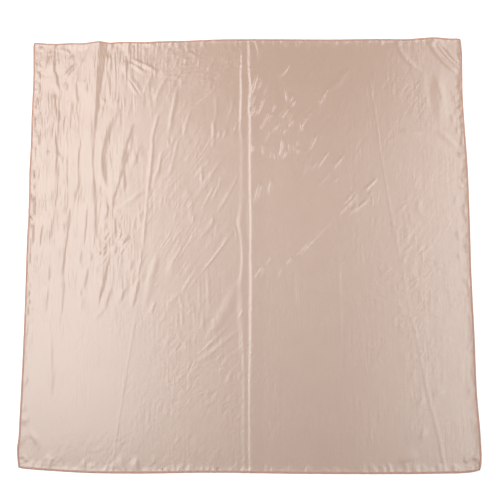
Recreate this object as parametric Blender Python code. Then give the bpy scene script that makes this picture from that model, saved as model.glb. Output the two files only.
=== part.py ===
"""Square satin scarf lying flat: one cut panel and a serged edge sewn round each of its four sides.

Metres, +Z up. The scarf lies on the floor at z = 0 with the middle of its outline at the origin, and
the side that is at the top when it is looked at is towards +Y. Plan tables are in centimetres and
heights in millimetres, both turned into metres by CM and MM.
"""
from collections import namedtuple

import bmesh
import bpy
import numpy as np

CM = 0.01
MM = 0.001

# Driving sizes
CLOTH_WALL = 1.3 * MM
CASING = 0.6 * MM           # thread wrapped over and under the cut edge
SEAM_GAP = 0.3 * MM         # clearance between thread and cloth, and between two edges at a corner
EDGE_REACH = 3.4 * MM       # how far the thread reaches in over the cloth
EDGE_ROUND = 0.55 * MM      # bevel that rounds the outside of the casing
RIM_WIDTH = 4.5 * MM        # level strip of cloth inside the casing
RIM_RAMP = 12.0 * MM        # the rim has come down to the floor this far in
CORNER_CUT = 1.8 * MM       # how far a corner of the cloth is drawn in
CORNER_REACH = 11.0 * MM    # length over which it is drawn in
SHARP_ANGLE = 0.6           # radians, shading breaks above this

# The plan is read about a point that isn't quite the middle of the outline
PLAN_MIDDLE_X = 0.0208 * CM
PLAN_MIDDLE_Y = -0.1898 * CM

SATIN_COLOUR = (0.394, 0.271, 0.208)
THREAD_COLOUR = (0.54, 0.315, 0.235)

# Outer edge of the scarf in plan, a row for each place where a side bends: how far along the side,
# and how far out it lies, both in centimetres from the plan's origin
SidePoint = namedtuple("SidePoint", "along out")
TOP_SIDE = (
    SidePoint(-45.2, 44.84), SidePoint(-43.0, 44.58), SidePoint(-40.0, 44.50), SidePoint(-37.0, 44.62),
    SidePoint(-35.2, 44.56), SidePoint(-33.0, 44.74), SidePoint(-31.2, 44.89), SidePoint(-30.2, 44.85),
    SidePoint(-29.1, 44.68), SidePoint(-27.5, 44.81), SidePoint(-22.0, 44.83), SidePoint(-18.0, 44.97),
    SidePoint(-14.0, 45.04), SidePoint(-5.5, 45.36), SidePoint(3.0, 45.37), SidePoint(20.0, 45.25),
    SidePoint(28.0, 45.34), SidePoint(33.5, 45.27), SidePoint(40.0, 45.64), SidePoint(43.5, 45.36),
    SidePoint(45.2, 45.46))
BOTTOM_SIDE = (
    SidePoint(-45.2, -44.66), SidePoint(-40.0, -45.10), SidePoint(-32.5, -45.57), SidePoint(-21.0, -45.77),
    SidePoint(-9.0, -45.64), SidePoint(10.0, -45.92), SidePoint(26.0, -46.02), SidePoint(37.5, -45.96),
    SidePoint(42.5, -45.82), SidePoint(45.2, -45.46))
LEFT_SIDE = (
    SidePoint(44.7, -45.36), SidePoint(38.0, -45.10), SidePoint(28.0, -45.13), SidePoint(22.0, -45.06),
    SidePoint(16.0, -45.14), SidePoint(9.0, -44.98), SidePoint(0.0, -45.06), SidePoint(-15.0, -44.98),
    SidePoint(-30.0, -45.07), SidePoint(-36.0, -45.15), SidePoint(-40.0, -45.22), SidePoint(-42.0, -45.40),
    SidePoint(-45.0, -45.14))
RIGHT_SIDE = (
    SidePoint(45.4, 45.02), SidePoint(42.0, 45.15), SidePoint(38.0, 45.04), SidePoint(32.5, 44.88),
    SidePoint(26.0, 45.00), SidePoint(18.0, 45.22), SidePoint(5.0, 45.17), SidePoint(-5.0, 45.02),
    SidePoint(-20.0, 45.07), SidePoint(-30.0, 45.02), SidePoint(-40.0, 45.37), SidePoint(-43.5, 45.36),
    SidePoint(-45.6, 45.16))

# The square that the cloth's lines are spaced on before it is drawn to that outline
PLAIN_LEFT = -45.1 * CM
PLAIN_RIGHT = 45.1 * CM
PLAIN_BOTTOM = -45.8 * CM
PLAIN_TOP = 45.3 * CM

# Spacing of the lines that the panel is divided by, in centimetres: closer where the folds are closer
Band = namedtuple("Band", "start step")
COLUMN_BANDS = (
    Band(-44.0, 0.80), Band(-24.0, 1.25), Band(-3.0, 0.66), Band(2.5, 2.50), Band(34.0, 1.25))
COLUMN_END = 44.0
ROW_BANDS = (Band(-44.5, 3.40), Band(-15.0, 2.90), Band(34.0, 1.50))
ROW_END = 44.0

# Largest folds, a row each. x1 y1 and x2 y2 are the crest's upper and lower end and bow is how far its
# middle lies to the right of the straight line between them, all in centimetres. start, middle and
# finish are the crest's height there in millimetres. left and right are how far the cloth takes to
# come down on that side, in centimetres: a long left and a short right lean the fold to the right.
Fold = namedtuple("Fold", "x1 y1 x2 y2 bow start middle finish left right")
FOLDS = (
    # long folds of the left third, from the top hem down
    Fold(-31.3, 45.4, -31.2, 5.0, -0.9, 4.2, 1.9, 0.4, 4.2, 1.7),
    Fold(-41.0, 43.5, -39.4, 7.0, -0.2, 0.9, 1.9, 0.4, 2.3, 1.0),
    Fold(-34.8, 45.2, -34.3, 38.5, 0.1, 1.9, 1.1, 0.1, 1.2, 0.8),
    Fold(-35.4, 41.5, -38.6, 36.4, 0.1, 0.2, 1.2, 0.2, 1.2, 0.8),
    Fold(-35.0, 34.5, -35.2, 9.0, -0.2, 0.2, 1.2, 0.2, 1.7, 0.8),
    Fold(-28.5, 45.2, -28.9, 37.5, 0.0, 1.3, 0.8, 0.1, 1.0, 0.8),
    Fold(-25.1, 45.2, -25.7, 36.5, 0.2, 1.8, 1.4, 0.2, 1.1, 0.8),
    Fold(-25.0, 41.2, -18.0, 38.2, 0.2, 1.4, 1.0, 0.1, 1.0, 1.2),
    Fold(-27.0, 32.0, -29.6, 12.0, -1.3, 0.2, 2.4, 0.5, 2.0, 1.0),
    Fold(-24.0, 27.0, -27.9, 7.8, 0.3, 0.2, 2.3, 0.8, 1.7, 0.8),
    Fold(-33.0, 11.0, -33.6, -1.5, 0.2, 0.2, 1.0, 0.2, 1.2, 0.8),
    Fold(-36.5, 10.0, -37.7, -7.0, -0.2, 0.2, 1.6, 0.4, 1.8, 0.8),
    Fold(-36.8, -6.5, -37.5, -16.0, 0.1, 0.1, 0.7, 0.1, 1.6, 0.9),
    Fold(-32.1, -3.0, -33.5, -12.5, -0.1, 0.2, 1.2, 0.2, 1.1, 0.8),
    Fold(-28.2, 0.0, -30.4, -13.0, 0.3, 0.4, 1.8, 0.2, 1.7, 0.9),
    # lifts beside the left hem
    Fold(-44.0, 38.5, -43.7, 32.5, 0.0, 0.2, 1.1, 0.2, 0.9, 0.8),
    Fold(-43.6, 29.5, -43.3, 21.5, 0.0, 0.2, 1.0, 0.2, 0.9, 0.9),
    Fold(-44.1, 12.0, -43.9, 6.2, 0.0, 0.2, 1.1, 0.2, 3.0, 1.1),
    Fold(-44.0, 5.8, -43.8, -0.6, 0.0, 0.2, 1.1, 0.2, 3.0, 1.0),
    # softer ridges towards the middle
    Fold(-14.8, 36.5, -16.8, 12.0, 0.1, 0.2, 1.3, 0.2, 1.4, 1.3),
    Fold(-19.2, 27.0, -22.4, -10.5, 0.0, 0.2, 1.4, 0.2, 1.6, 1.1),
    Fold(-6.7, 33.0, -6.9, 19.0, -0.1, 0.2, 1.0, 0.2, 1.1, 1.1),
    Fold(-5.5, 19.5, -12.0, 5.5, 0.4, 0.2, 1.0, 0.2, 1.4, 1.2),
    Fold(-2.8, 3.2, -14.0, -11.0, 0.3, 0.2, 0.8, 0.2, 1.4, 1.2),
    Fold(-18.2, 0.5, -20.6, -13.5, 0.1, 0.1, 0.8, 0.1, 1.4, 1.2),
    Fold(-1.2, -14.0, -10.5, -23.0, 0.0, 0.2, 0.9, 0.1, 1.4, 1.2),
    # the two shoulders of the packing crease down the middle, and the one a quarter in
    Fold(-1.1, 45.5, -1.0, -46.0, 0.0, 1.2, 0.9, 0.7, 1.5, 1.0),
    Fold(0.9, 45.5, 0.8, -46.0, 0.0, 0.8, 0.7, 0.6, 1.0, 3.6),
    Fold(-23.6, -12.0, -26.5, -45.8, 0.0, 0.1, 0.5, 0.6, 1.3, 1.3),
    # folds across the upper right corner
    Fold(40.4, 45.6, 45.2, 39.6, -0.4, 1.6, 2.2, 1.4, 1.8, 3.0),
    Fold(37.6, 43.6, 43.6, 36.0, -0.2, 0.4, 1.3, 0.5, 3.6, 1.5),
    Fold(32.6, 43.8, 37.2, 37.6, 0.5, 0.2, 1.0, 0.2, 2.4, 2.6),
    Fold(43.4, 36.5, 43.7, 21.0, 0.1, 0.2, 0.8, 0.3, 2.2, 1.3),
    # gathers where the lower hem pulls the cloth
    Fold(-41.6, -38.2, -39.6, -41.2, 0.0, 0.1, 0.8, 0.2, 1.2, 1.0),
    Fold(-39.3, -42.6, -39.2, -45.5, 0.0, 0.2, 0.8, 1.1, 0.9, 0.9),
    Fold(-31.2, -43.2, -31.3, -46.0, 0.0, 0.2, 0.6, 0.9, 0.9, 0.9),
    Fold(-25.0, -43.4, -25.1, -46.1, 0.0, 0.2, 0.5, 0.7, 1.3, 1.3),
    Fold(-20.4, -42.8, -20.6, -46.1, 0.0, 0.2, 0.7, 1.0, 1.4, 1.3))


def side_line(rows, along):
    """Height or sideways place of a side at each value of along, on a smooth line through its rows."""
    ordered = sorted(rows)
    places = np.array([row.along for row in ordered]) * CM
    values = np.array([row.out for row in ordered]) * CM
    slopes = np.gradient(values, places)
    along = np.clip(along, places[0], places[-1])
    cell = np.clip(np.searchsorted(places, along, side="right") - 1, 0, len(places) - 2)
    width = places[cell + 1] - places[cell]
    t = (along - places[cell]) / width
    start = (1.0 + 2.0 * t) * (1.0 - t) ** 2 * values[cell] + t * (1.0 - t) ** 2 * width * slopes[cell]
    end = t * t * (3.0 - 2.0 * t) * values[cell + 1] - t * t * (1.0 - t) * width * slopes[cell + 1]
    return start + end


def fade(distance, reach):
    """One at distance 0, none from reach on, level at both."""
    t = np.clip(distance / reach, 0.0, 1.0)
    return (1.0 - t) ** 2 * (1.0 + 2.0 * t)


def fold_height(fold, x, y):
    """Height that one fold adds at the plan points x, y."""
    start = np.array((fold.x1, fold.y1)) * CM
    run = np.array((fold.x2, fold.y2)) * CM - start
    length = np.hypot(*run)
    along = run / length
    rightwards = np.array((-along[1], along[0]))
    from_start_x = x - start[0]
    from_start_y = y - start[1]
    t = (from_start_x * along[0] + from_start_y * along[1]) / length
    inside = np.clip(t, 0.0, 1.0)
    aside = from_start_x * rightwards[0] + from_start_y * rightwards[1]
    aside = aside - 4.0 * fold.bow * CM * inside * (1.0 - inside)
    beyond = np.abs(t - inside) * length
    crest = (fold.start * (1.0 - inside) * (1.0 - 2.0 * inside)
             + 4.0 * fold.middle * inside * (1.0 - inside)
             + fold.finish * inside * (2.0 * inside - 1.0)) * MM
    crest = np.maximum(crest, 0.0)
    highest = max(fold.start, fold.middle, fold.finish) * MM
    spread = 0.5 + 0.5 * crest / highest
    reach = np.where(aside < 0.0, fold.left, fold.right) * CM * spread
    return crest * fade(np.abs(aside), reach) * fade(beyond, max(fold.left, fold.right) * CM)


def band_lines(bands, end, first, last):
    """Places of the panel's lines along one way: the edges, their rims, and the bands between."""
    stops = [band.start for band in bands[1:]] + [end]
    places = []
    for band, stop in zip(bands, stops):
        steps = max(1, round((stop - band.start) / band.step))
        places.extend(band.start + (stop - band.start) * k / steps for k in range(steps))
    places = np.array(places + [end]) * CM
    return np.concatenate(([first, first + RIM_WIDTH], places, [last - RIM_WIDTH, last]))


def corner_pull(from_corner):
    """How far an edge is drawn in near a corner."""
    return CORNER_CUT * np.clip(1.0 - from_corner / CORNER_REACH, 0.0, 1.0) ** 2


def panel_grid():
    """Top points of the cloth, [column, row, xyz], and its underside's height at each of them."""
    inset = SEAM_GAP + CASING
    first_x, last_x = PLAIN_LEFT + inset, PLAIN_RIGHT - inset
    first_y, last_y = PLAIN_BOTTOM + inset, PLAIN_TOP - inset
    columns = band_lines(COLUMN_BANDS, COLUMN_END, first_x, last_x)
    rows = band_lines(ROW_BANDS, ROW_END, first_y, last_y)
    plain_x, plain_y = np.meshgrid(columns, rows, indexing="ij")

    pull_x = corner_pull(np.minimum(plain_y - first_y, last_y - plain_y))
    pull_y = corner_pull(np.minimum(plain_x - first_x, last_x - plain_x))
    left = side_line(LEFT_SIDE, plain_y) + inset + pull_x
    right = side_line(RIGHT_SIDE, plain_y) - inset - pull_x
    bottom = side_line(BOTTOM_SIDE, plain_x) + inset + pull_y
    top = side_line(TOP_SIDE, plain_x) - inset - pull_y
    share_x = (plain_x - first_x) / (last_x - first_x)
    share_y = (plain_y - first_y) / (last_y - first_y)
    x = left + (right - left) * share_x
    y = bottom + (top - bottom) * share_y

    raised = sum(fold_height(fold, x, y) for fold in FOLDS)
    to_edge = np.minimum(np.minimum(plain_x - first_x, last_x - plain_x),
                         np.minimum(plain_y - first_y, last_y - plain_y))
    rim = (CASING + SEAM_GAP) * fade(to_edge - RIM_WIDTH, RIM_RAMP - RIM_WIDTH)
    underside = np.maximum(raised, 0.0) + rim
    plan = np.stack((x - PLAN_MIDDLE_X, y - PLAN_MIDDLE_Y, underside + CLOTH_WALL), axis=-1)
    return plan, underside


def principled(name, colour, roughness):
    """A plain cloth or thread material."""
    material = bpy.data.materials.new(name)
    material.use_nodes = True
    shader = material.node_tree.nodes["Principled BSDF"]
    shader.inputs["Base Color"].default_value = (*colour, 1.0)
    shader.inputs["Roughness"].default_value = roughness
    shader.inputs["Metallic"].default_value = 0.0
    return material


def add_piece(name, bm, material):
    """Turns a finished bmesh into the piece's object."""
    bmesh.ops.recalc_face_normals(bm, faces=bm.faces)
    bmesh.ops.triangulate(bm, faces=bm.faces, quad_method="FIXED")
    mesh = bpy.data.meshes.new(name)
    bm.to_mesh(mesh)
    bm.free()
    mesh.shade_smooth()
    mesh.set_sharp_from_angle(angle=SHARP_ANGLE)
    mesh.materials.append(material)
    piece = bpy.data.objects.new(name, mesh)
    bpy.context.scene.collection.objects.link(piece)
    return piece


def add_panel(plan, underside, material):
    """The cut square of satin: its upper and lower face, joined round the cut edge."""
    bm = bmesh.new()
    columns, rows = underside.shape
    upper = [[bm.verts.new(plan[i, j]) for j in range(rows)] for i in range(columns)]
    lower = [[bm.verts.new((plan[i, j, 0], plan[i, j, 1], underside[i, j])) for j in range(rows)]
             for i in range(columns)]
    for i in range(columns - 1):
        for j in range(rows - 1):
            bm.faces.new((upper[i][j], upper[i + 1][j], upper[i + 1][j + 1], upper[i][j + 1]))
            bm.faces.new((lower[i][j], lower[i][j + 1], lower[i + 1][j + 1], lower[i + 1][j]))
    rim = [(i, 0) for i in range(columns - 1)]
    rim += [(columns - 1, j) for j in range(rows - 1)]
    rim += [(i, rows - 1) for i in range(columns - 1, 0, -1)]
    rim += [(0, j) for j in range(rows - 1, 0, -1)]
    for (i, j), (k, m) in zip(rim, rim[1:] + rim[:1]):
        bm.faces.new((lower[i][j], lower[k][m], upper[k][m], upper[i][j]))
    return add_piece("satin_panel", bm, material)


# The thread's casing in cross section, a row for each corner: whether it lies at the cut edge or at
# the reach, on the cloth's upper or lower face, and how far it is moved out and off the cloth
SectionPoint = namedtuple("SectionPoint", "at_edge upper out off")
CASING_SECTION = (
    SectionPoint(False, True, 0.0, SEAM_GAP + CASING),
    SectionPoint(True, True, SEAM_GAP + CASING - EDGE_ROUND, SEAM_GAP + CASING),
    SectionPoint(True, True, SEAM_GAP + CASING, SEAM_GAP + CASING - EDGE_ROUND),
    SectionPoint(True, False, SEAM_GAP + CASING, SEAM_GAP + CASING - EDGE_ROUND),
    SectionPoint(True, False, SEAM_GAP + CASING - EDGE_ROUND, SEAM_GAP + CASING),
    SectionPoint(False, False, 0.0, SEAM_GAP + CASING),
    SectionPoint(False, False, 0.0, SEAM_GAP),
    SectionPoint(True, False, SEAM_GAP, SEAM_GAP),
    SectionPoint(True, True, SEAM_GAP, SEAM_GAP),
    SectionPoint(False, True, 0.0, SEAM_GAP))


def between(points, step):
    """Point of a row of points at a step that may lie between two of them."""
    low = min(int(step), len(points) - 2)
    return points[low] + (points[low + 1] - points[low]) * (step - low)


def add_serged_edge(name, edge, inner, outward, steps, material):
    """One side's serging: a channel of thread wrapped round the panel's edge points, moved out.

    edge and inner are the cloth's upper points at the cut edge and on the next line in, and steps
    are the stations along them.
    """
    bm = bmesh.new()
    drop = np.array((0.0, 0.0, CLOTH_WALL))
    up = np.array((0.0, 0.0, 1.0))
    outward = np.array((*outward, 0.0))
    rings = []
    for step in steps:
        cut = between(edge, step)
        further_in = between(inner, step)
        reach = cut + (further_in - cut) * EDGE_REACH / np.hypot(*(further_in - cut)[:2])
        ring = []
        for corner in CASING_SECTION:
            base = cut if corner.at_edge else reach
            face = base if corner.upper else base - drop
            off = corner.off if corner.upper else -corner.off
            ring.append(bm.verts.new(face + outward * corner.out + up * off))
        rings.append(ring)
    count = len(CASING_SECTION)
    for ring, following in zip(rings, rings[1:]):
        for k in range(count):
            m = (k + 1) % count
            bm.faces.new((ring[k], ring[m], following[m], following[k]))
    bm.faces.new(rings[0])
    bm.faces.new(rings[-1])
    return add_piece(name, bm, material)


def butt_steps(edge):
    """Stations of a side that ends a seam's gap short of the casings across its two ends."""
    clear = EDGE_REACH + SEAM_GAP
    start = clear / np.hypot(*(edge[1] - edge[0])[:2])
    finish = len(edge) - 1 - clear / np.hypot(*(edge[-1] - edge[-2])[:2])
    return [start, *range(1, len(edge) - 1), finish]


def main():
    for leftover in list(bpy.data.objects):
        bpy.data.objects.remove(leftover)
    plan, underside = panel_grid()
    add_panel(plan, underside, principled("satin", SATIN_COLOUR, 0.35))
    thread = principled("edge_thread", THREAD_COLOUR, 0.6)
    whole = range(plan.shape[0])
    add_serged_edge("serged_edge_top", plan[:, -1], plan[:, -2], (0.0, 1.0), whole, thread)
    add_serged_edge("serged_edge_bottom", plan[:, 0], plan[:, 1], (0.0, -1.0), whole, thread)
    left, right = plan[0], plan[-1]
    add_serged_edge("serged_edge_left", left, plan[1], (-1.0, 0.0), butt_steps(left), thread)
    add_serged_edge("serged_edge_right", right, plan[-2], (1.0, 0.0), butt_steps(right), thread)


main()
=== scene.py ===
import math
from collections import namedtuple

import bpy
import numpy as np
from bpy.props import FloatProperty, FloatVectorProperty, IntProperty, PointerProperty
from mathutils import Matrix, Vector


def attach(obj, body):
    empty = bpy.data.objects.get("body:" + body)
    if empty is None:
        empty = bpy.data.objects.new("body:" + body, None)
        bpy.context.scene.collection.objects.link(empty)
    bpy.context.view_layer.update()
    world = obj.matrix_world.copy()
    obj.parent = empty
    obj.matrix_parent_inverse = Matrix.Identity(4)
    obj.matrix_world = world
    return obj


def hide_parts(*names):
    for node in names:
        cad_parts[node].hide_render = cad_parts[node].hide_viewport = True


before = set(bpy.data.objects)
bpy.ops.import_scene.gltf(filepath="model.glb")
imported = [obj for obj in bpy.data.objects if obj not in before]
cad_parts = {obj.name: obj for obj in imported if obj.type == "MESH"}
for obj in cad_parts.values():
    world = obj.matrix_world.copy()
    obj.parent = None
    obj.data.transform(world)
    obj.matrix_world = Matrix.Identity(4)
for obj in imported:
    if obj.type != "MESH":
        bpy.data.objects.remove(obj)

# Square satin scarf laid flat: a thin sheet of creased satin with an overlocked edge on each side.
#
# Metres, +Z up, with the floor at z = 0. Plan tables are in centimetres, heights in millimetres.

bl_info = {
    "name": "Square Satin Scarf",
    "version": (1, 0, 0),
    "blender": (4, 5, 0),
    "location": "3D View > Sidebar > Scarf",
    "description": "Builds a creased satin square with overlocked edges, laid flat",
    "category": "Object",
}

CM = 0.01
MM = 0.001
SHEET_NAME = "satin_sheet"

# The plan is read about a point that isn't quite the middle of the outline
PLAN_MIDDLE_X = 0.0208 * CM
PLAN_MIDDLE_Y = -0.1898 * CM

EDGE_COVER = 0.6 * MM       # thread that lies outside the cut edge
EDGE_REACH = 3.6 * MM       # how far the thread reaches in over the cloth
THREAD_UNDER = 0.45 * MM    # the cut edge is held up this far by the thread under it
RIM_RAMP = 8.0 * MM         # the cloth has come down to the floor this far in
CORNER_CUT = 1.8 * MM       # how far a corner of the cloth is drawn in
CORNER_REACH = 11.0 * MM    # length over which it is drawn in

# Outer edge of the scarf in plan, a row for each place: how far along the side, and how far out it lies
TOP_SIDE = (
    (-45.2, 44.84), (-43.0, 44.58), (-40.0, 44.50), (-37.0, 44.62), (-35.2, 44.56), (-33.0, 44.74),
    (-31.2, 44.89), (-30.2, 44.85), (-29.1, 44.68), (-27.5, 44.81), (-22.0, 44.83), (-18.0, 44.97),
    (-14.0, 45.04), (-5.5, 45.36), (3.0, 45.37), (20.0, 45.25), (28.0, 45.34), (33.5, 45.27),
    (40.0, 45.64), (43.5, 45.36), (45.2, 45.46))
BOTTOM_SIDE = (
    (-45.2, -44.66), (-40.0, -45.10), (-32.5, -45.57), (-21.0, -45.77), (-9.0, -45.64), (10.0, -45.92),
    (26.0, -46.02), (37.5, -45.96), (42.5, -45.82), (45.2, -45.46))
LEFT_SIDE = (
    (44.7, -45.36), (38.0, -45.10), (28.0, -45.13), (22.0, -45.06), (16.0, -45.14), (9.0, -44.98),
    (0.0, -45.06), (-15.0, -44.98), (-30.0, -45.07), (-36.0, -45.15), (-40.0, -45.22), (-42.0, -45.40),
    (-45.0, -45.14))
RIGHT_SIDE = (
    (45.4, 45.02), (42.0, 45.15), (38.0, 45.04), (32.5, 44.88), (26.0, 45.00), (18.0, 45.22),
    (5.0, 45.17), (-5.0, 45.02), (-20.0, 45.07), (-30.0, 45.02), (-40.0, 45.37), (-43.5, 45.36),
    (-45.6, 45.16))

# The square that the cloth's lines are spaced on before it is drawn to that outline
PLAIN_LEFT = -45.1 * CM
PLAIN_RIGHT = 45.1 * CM
PLAIN_BOTTOM = -45.8 * CM
PLAIN_TOP = 45.3 * CM

# Spacing of the sheet's lines, a row for each band: its start and its step, in centimetres
COLUMN_BANDS = (
    (-44.5, 0.20), (-20.0, 0.24), (-3.0, 0.17), (2.5, 0.17), (12.0, 0.30), (24.6, 0.22), (29.2, 0.36),
    (41.0, 0.27))
COLUMN_END = 44.5
ROW_BANDS = (
    (-45.1, 0.30), (-43.0, 0.72), (-24.0, 0.42), (-6.0, 0.30), (5.0, 0.42), (18.0, 0.28), (36.0, 0.34),
    (43.0, 0.28))
ROW_END = 44.8
UNDERSIDE_STRIDE = 6        # the underside keeps every sixth line

# Long folds, a row for each station down the fold: y and x of the crest and how far the cloth takes to
# come down on each side, in centimetres, the crest's height in millimetres, and how sharply the right
# side breaks at its crest and at its foot, 0 for a soft turn and 1 for a hard one, together at most 1
Station = namedtuple("Station", "y x rise left right crest foot")
STATION_UNITS = Station(CM, CM, MM, CM, CM, 1.0, 1.0)
HEM_FOLD = (
    (46.5, -31.25, 3.5, 4.4, 1.80, 0.5, 0.5), (42.0, -31.50, 3.2, 4.4, 1.65, 0.5, 0.5),
    (38.0, -31.70, 2.5, 4.4, 1.30, 0.5, 0.5), (35.0, -31.80, 1.9, 4.0, 1.00, 0.4, 0.4),
    (32.5, -31.90, 1.5, 3.6, 0.85, 0.1, 0.4), (30.0, -31.95, 1.3, 3.0, 0.75, 0.0, 0.7),
    (26.0, -32.60, 1.3, 3.0, 1.10, 0.0, 0.9), (22.0, -32.60, 1.2, 3.0, 0.90, 0.0, 0.5),
    (18.0, -32.30, 1.0, 2.4, 0.50, 0.0, 0.2), (14.0, -31.95, 0.8, 2.2, 0.45, 0.0, 0.2),
    (10.0, -31.60, 0.9, 2.2, 0.45, 0.0, 0.2), (5.0, -31.45, 0.6, 1.8, 0.42, 0.0, 0.2),
    (1.5, -31.50, 0.3, 1.4, 0.40, 0.0, 0.2), (-1.0, -31.70, 0.0, 1.2, 0.40, 0.0, 0.2))
CRESCENT_FOLD = (
    (30.5, -26.90, 0.0, 1.6, 1.0, 0.0, 0.0), (28.5, -28.00, 0.5, 2.0, 1.3, 0.2, 0.0),
    (26.0, -28.95, 1.0, 3.0, 1.3, 0.5, 0.0), (22.0, -29.85, 1.7, 4.0, 1.4, 0.9, 0.0),
    (19.0, -30.15, 1.9, 4.0, 1.3, 1.0, 0.0), (16.0, -30.00, 1.5, 3.5, 1.1, 1.0, 0.0),
    (14.0, -29.60, 0.8, 2.2, 0.8, 0.8, 0.0), (12.6, -29.30, 0.0, 1.6, 0.6, 0.5, 0.0))
LEFT_FOLD_UPPER = (
    (43.8, -41.20, 0.0, 1.2, 0.60, 0.2, 0.2), (41.4, -41.25, 0.9, 1.4, 0.75, 0.3, 0.3),
    (39.4, -41.10, 1.3, 2.4, 0.70, 0.3, 0.3), (38.2, -40.90, 0.8, 2.2, 0.50, 0.2, 0.2),
    (37.4, -40.40, 0.7, 2.0, 0.50, 0.2, 0.2), (36.7, -40.25, 1.0, 2.2, 0.60, 0.2, 0.2),
    (35.4, -40.10, 1.0, 2.2, 0.55, 0.2, 0.2), (34.2, -39.75, 0.55, 1.6, 0.60, 0.0, 0.2),
    (32.0, -39.60, 0.42, 1.4, 0.60, 0.0, 0.0), (30.0, -39.60, 0.35, 1.4, 0.50, 0.0, 0.0),
    (28.6, -39.45, 0.7, 1.6, 0.50, 0.2, 0.2), (27.4, -39.25, 0.8, 1.6, 0.45, 0.2, 0.2),
    (26.2, -39.10, 0.0, 1.4, 0.42, 0.0, 0.2))
LEFT_FOLD_LOWER = (
    (26.6, -40.05, 0.0, 1.6, 0.42, 0.0, 0.2), (24.4, -40.05, 0.65, 1.8, 0.42, 0.1, 0.2),
    (21.0, -39.80, 1.0, 2.2, 0.45, 0.2, 0.2), (18.0, -39.65, 1.0, 2.2, 0.42, 0.2, 0.2),
    (15.0, -39.60, 0.6, 1.8, 0.45, 0.0, 0.2), (12.5, -39.75, 0.40, 1.6, 0.60, 0.0, 0.0),
    (9.5, -39.75, 0.45, 1.6, 0.60, 0.0, 0.0), (7.6, -39.60, 0.0, 1.4, 0.50, 0.0, 0.0))
LEFT_FOLD_INNER = (
    (32.0, -34.40, 0.0, 1.4, 0.45, 0.0, 0.0), (29.0, -34.45, 0.35, 1.5, 0.45, 0.0, 0.1),
    (24.5, -34.60, 0.45, 1.6, 0.45, 0.0, 0.1), (21.0, -35.00, 0.75, 1.9, 0.42, 0.1, 0.2),
    (18.5, -35.30, 0.55, 1.7, 0.42, 0.0, 0.2), (16.5, -35.25, 0.30, 1.4, 0.42, 0.0, 0.0),
    (14.6, -34.95, 0.40, 1.5, 0.42, 0.0, 0.0), (12.5, -35.15, 0.80, 2.0, 0.45, 0.2, 0.2),
    (10.6, -35.50, 0.60, 1.8, 0.42, 0.0, 0.2), (8.8, -35.60, 0.0, 1.4, 0.40, 0.0, 0.0))
MIDDLE_LEFT_SHOULDER = (
    (46.5, -1.25, 0.22, 0.45, 1.05, 0.4, 0.4), (42.5, -1.25, 0.28, 0.40, 1.05, 0.4, 0.4),
    (41.0, -1.20, 0.62, 0.42, 1.00, 0.4, 0.4), (38.0, -1.32, 0.75, 0.45, 1.10, 0.4, 0.4),
    (33.0, -1.25, 0.75, 0.48, 1.05, 0.4, 0.4), (28.0, -1.40, 0.75, 0.52, 1.15, 0.4, 0.4),
    (25.6, -1.50, 0.45, 0.60, 1.10, 0.3, 0.4), (23.0, -1.20, 0.32, 0.70, 0.90, 0.2, 0.4),
    (15.0, -1.15, 0.30, 0.80, 0.90, 0.2, 0.4), (8.0, -1.35, 0.36, 0.80, 0.95, 0.0, 0.4),
    (5.0, -1.70, 0.62, 0.85, 1.10, 0.0, 0.4), (2.0, -1.35, 0.42, 0.60, 1.00, 0.0, 0.4),
    (0.0, -1.20, 0.45, 0.55, 1.00, 0.0, 0.4), (-5.0, -1.25, 0.50, 0.60, 1.00, 0.0, 0.3),
    (-8.0, -1.45, 0.62, 1.00, 1.10, 0.0, 0.2), (-12.0, -1.25, 0.62, 1.40, 1.10, 0.0, 0.2),
    (-16.0, -1.20, 0.45, 1.20, 1.00, 0.0, 0.2), (-20.0, -1.10, 0.38, 0.90, 0.90, 0.0, 0.2),
    (-25.0, -0.90, 0.30, 0.70, 0.65, 0.2, 0.4), (-38.0, -0.90, 0.30, 0.70, 0.55, 0.2, 0.4),
    (-47.0, -0.85, 0.35, 0.70, 0.55, 0.2, 0.4))
MIDDLE_RIGHT_SHOULDER = (
    (46.5, 0.20, 0.50, 0.40, 2.4, 0.5, 0.0), (44.5, 0.30, 0.70, 0.52, 2.5, 0.5, 0.0),
    (42.0, 0.55, 0.95, 0.75, 2.6, 0.5, 0.0), (39.4, 0.42, 0.75, 0.60, 2.8, 0.5, 0.0),
    (37.4, 0.45, 0.70, 0.45, 2.9, 0.5, 0.0), (35.0, 0.78, 0.85, 0.62, 3.0, 0.5, 0.0),
    (32.6, 0.72, 0.85, 0.72, 3.0, 0.5, 0.0), (29.6, 0.42, 0.65, 0.50, 3.0, 0.5, 0.0),
    (27.0, 0.62, 0.72, 0.55, 3.0, 0.5, 0.0), (24.5, 0.68, 0.78, 0.70, 3.0, 0.5, 0.0),
    (20.0, 0.55, 0.72, 0.52, 3.0, 0.5, 0.0), (12.0, 0.58, 0.80, 0.52, 3.0, 0.5, 0.0),
    (4.0, 0.66, 0.78, 0.52, 3.0, 0.5, 0.0), (-4.0, 0.58, 0.72, 0.50, 3.0, 0.5, 0.0),
    (-7.5, 0.70, 0.80, 0.66, 3.0, 0.5, 0.0), (-14.0, 0.62, 0.78, 0.66, 3.0, 0.5, 0.0),
    (-21.0, 0.48, 0.72, 0.58, 3.0, 0.4, 0.0), (-28.0, 0.26, 0.58, 0.46, 3.0, 0.2, 0.0),
    (-36.0, 0.20, 0.55, 0.42, 3.0, 0.2, 0.0), (-44.0, 0.28, 0.70, 0.46, 3.0, 0.3, 0.0),
    (-47.0, 0.38, 0.70, 0.50, 3.0, 0.3, 0.0))
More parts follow.
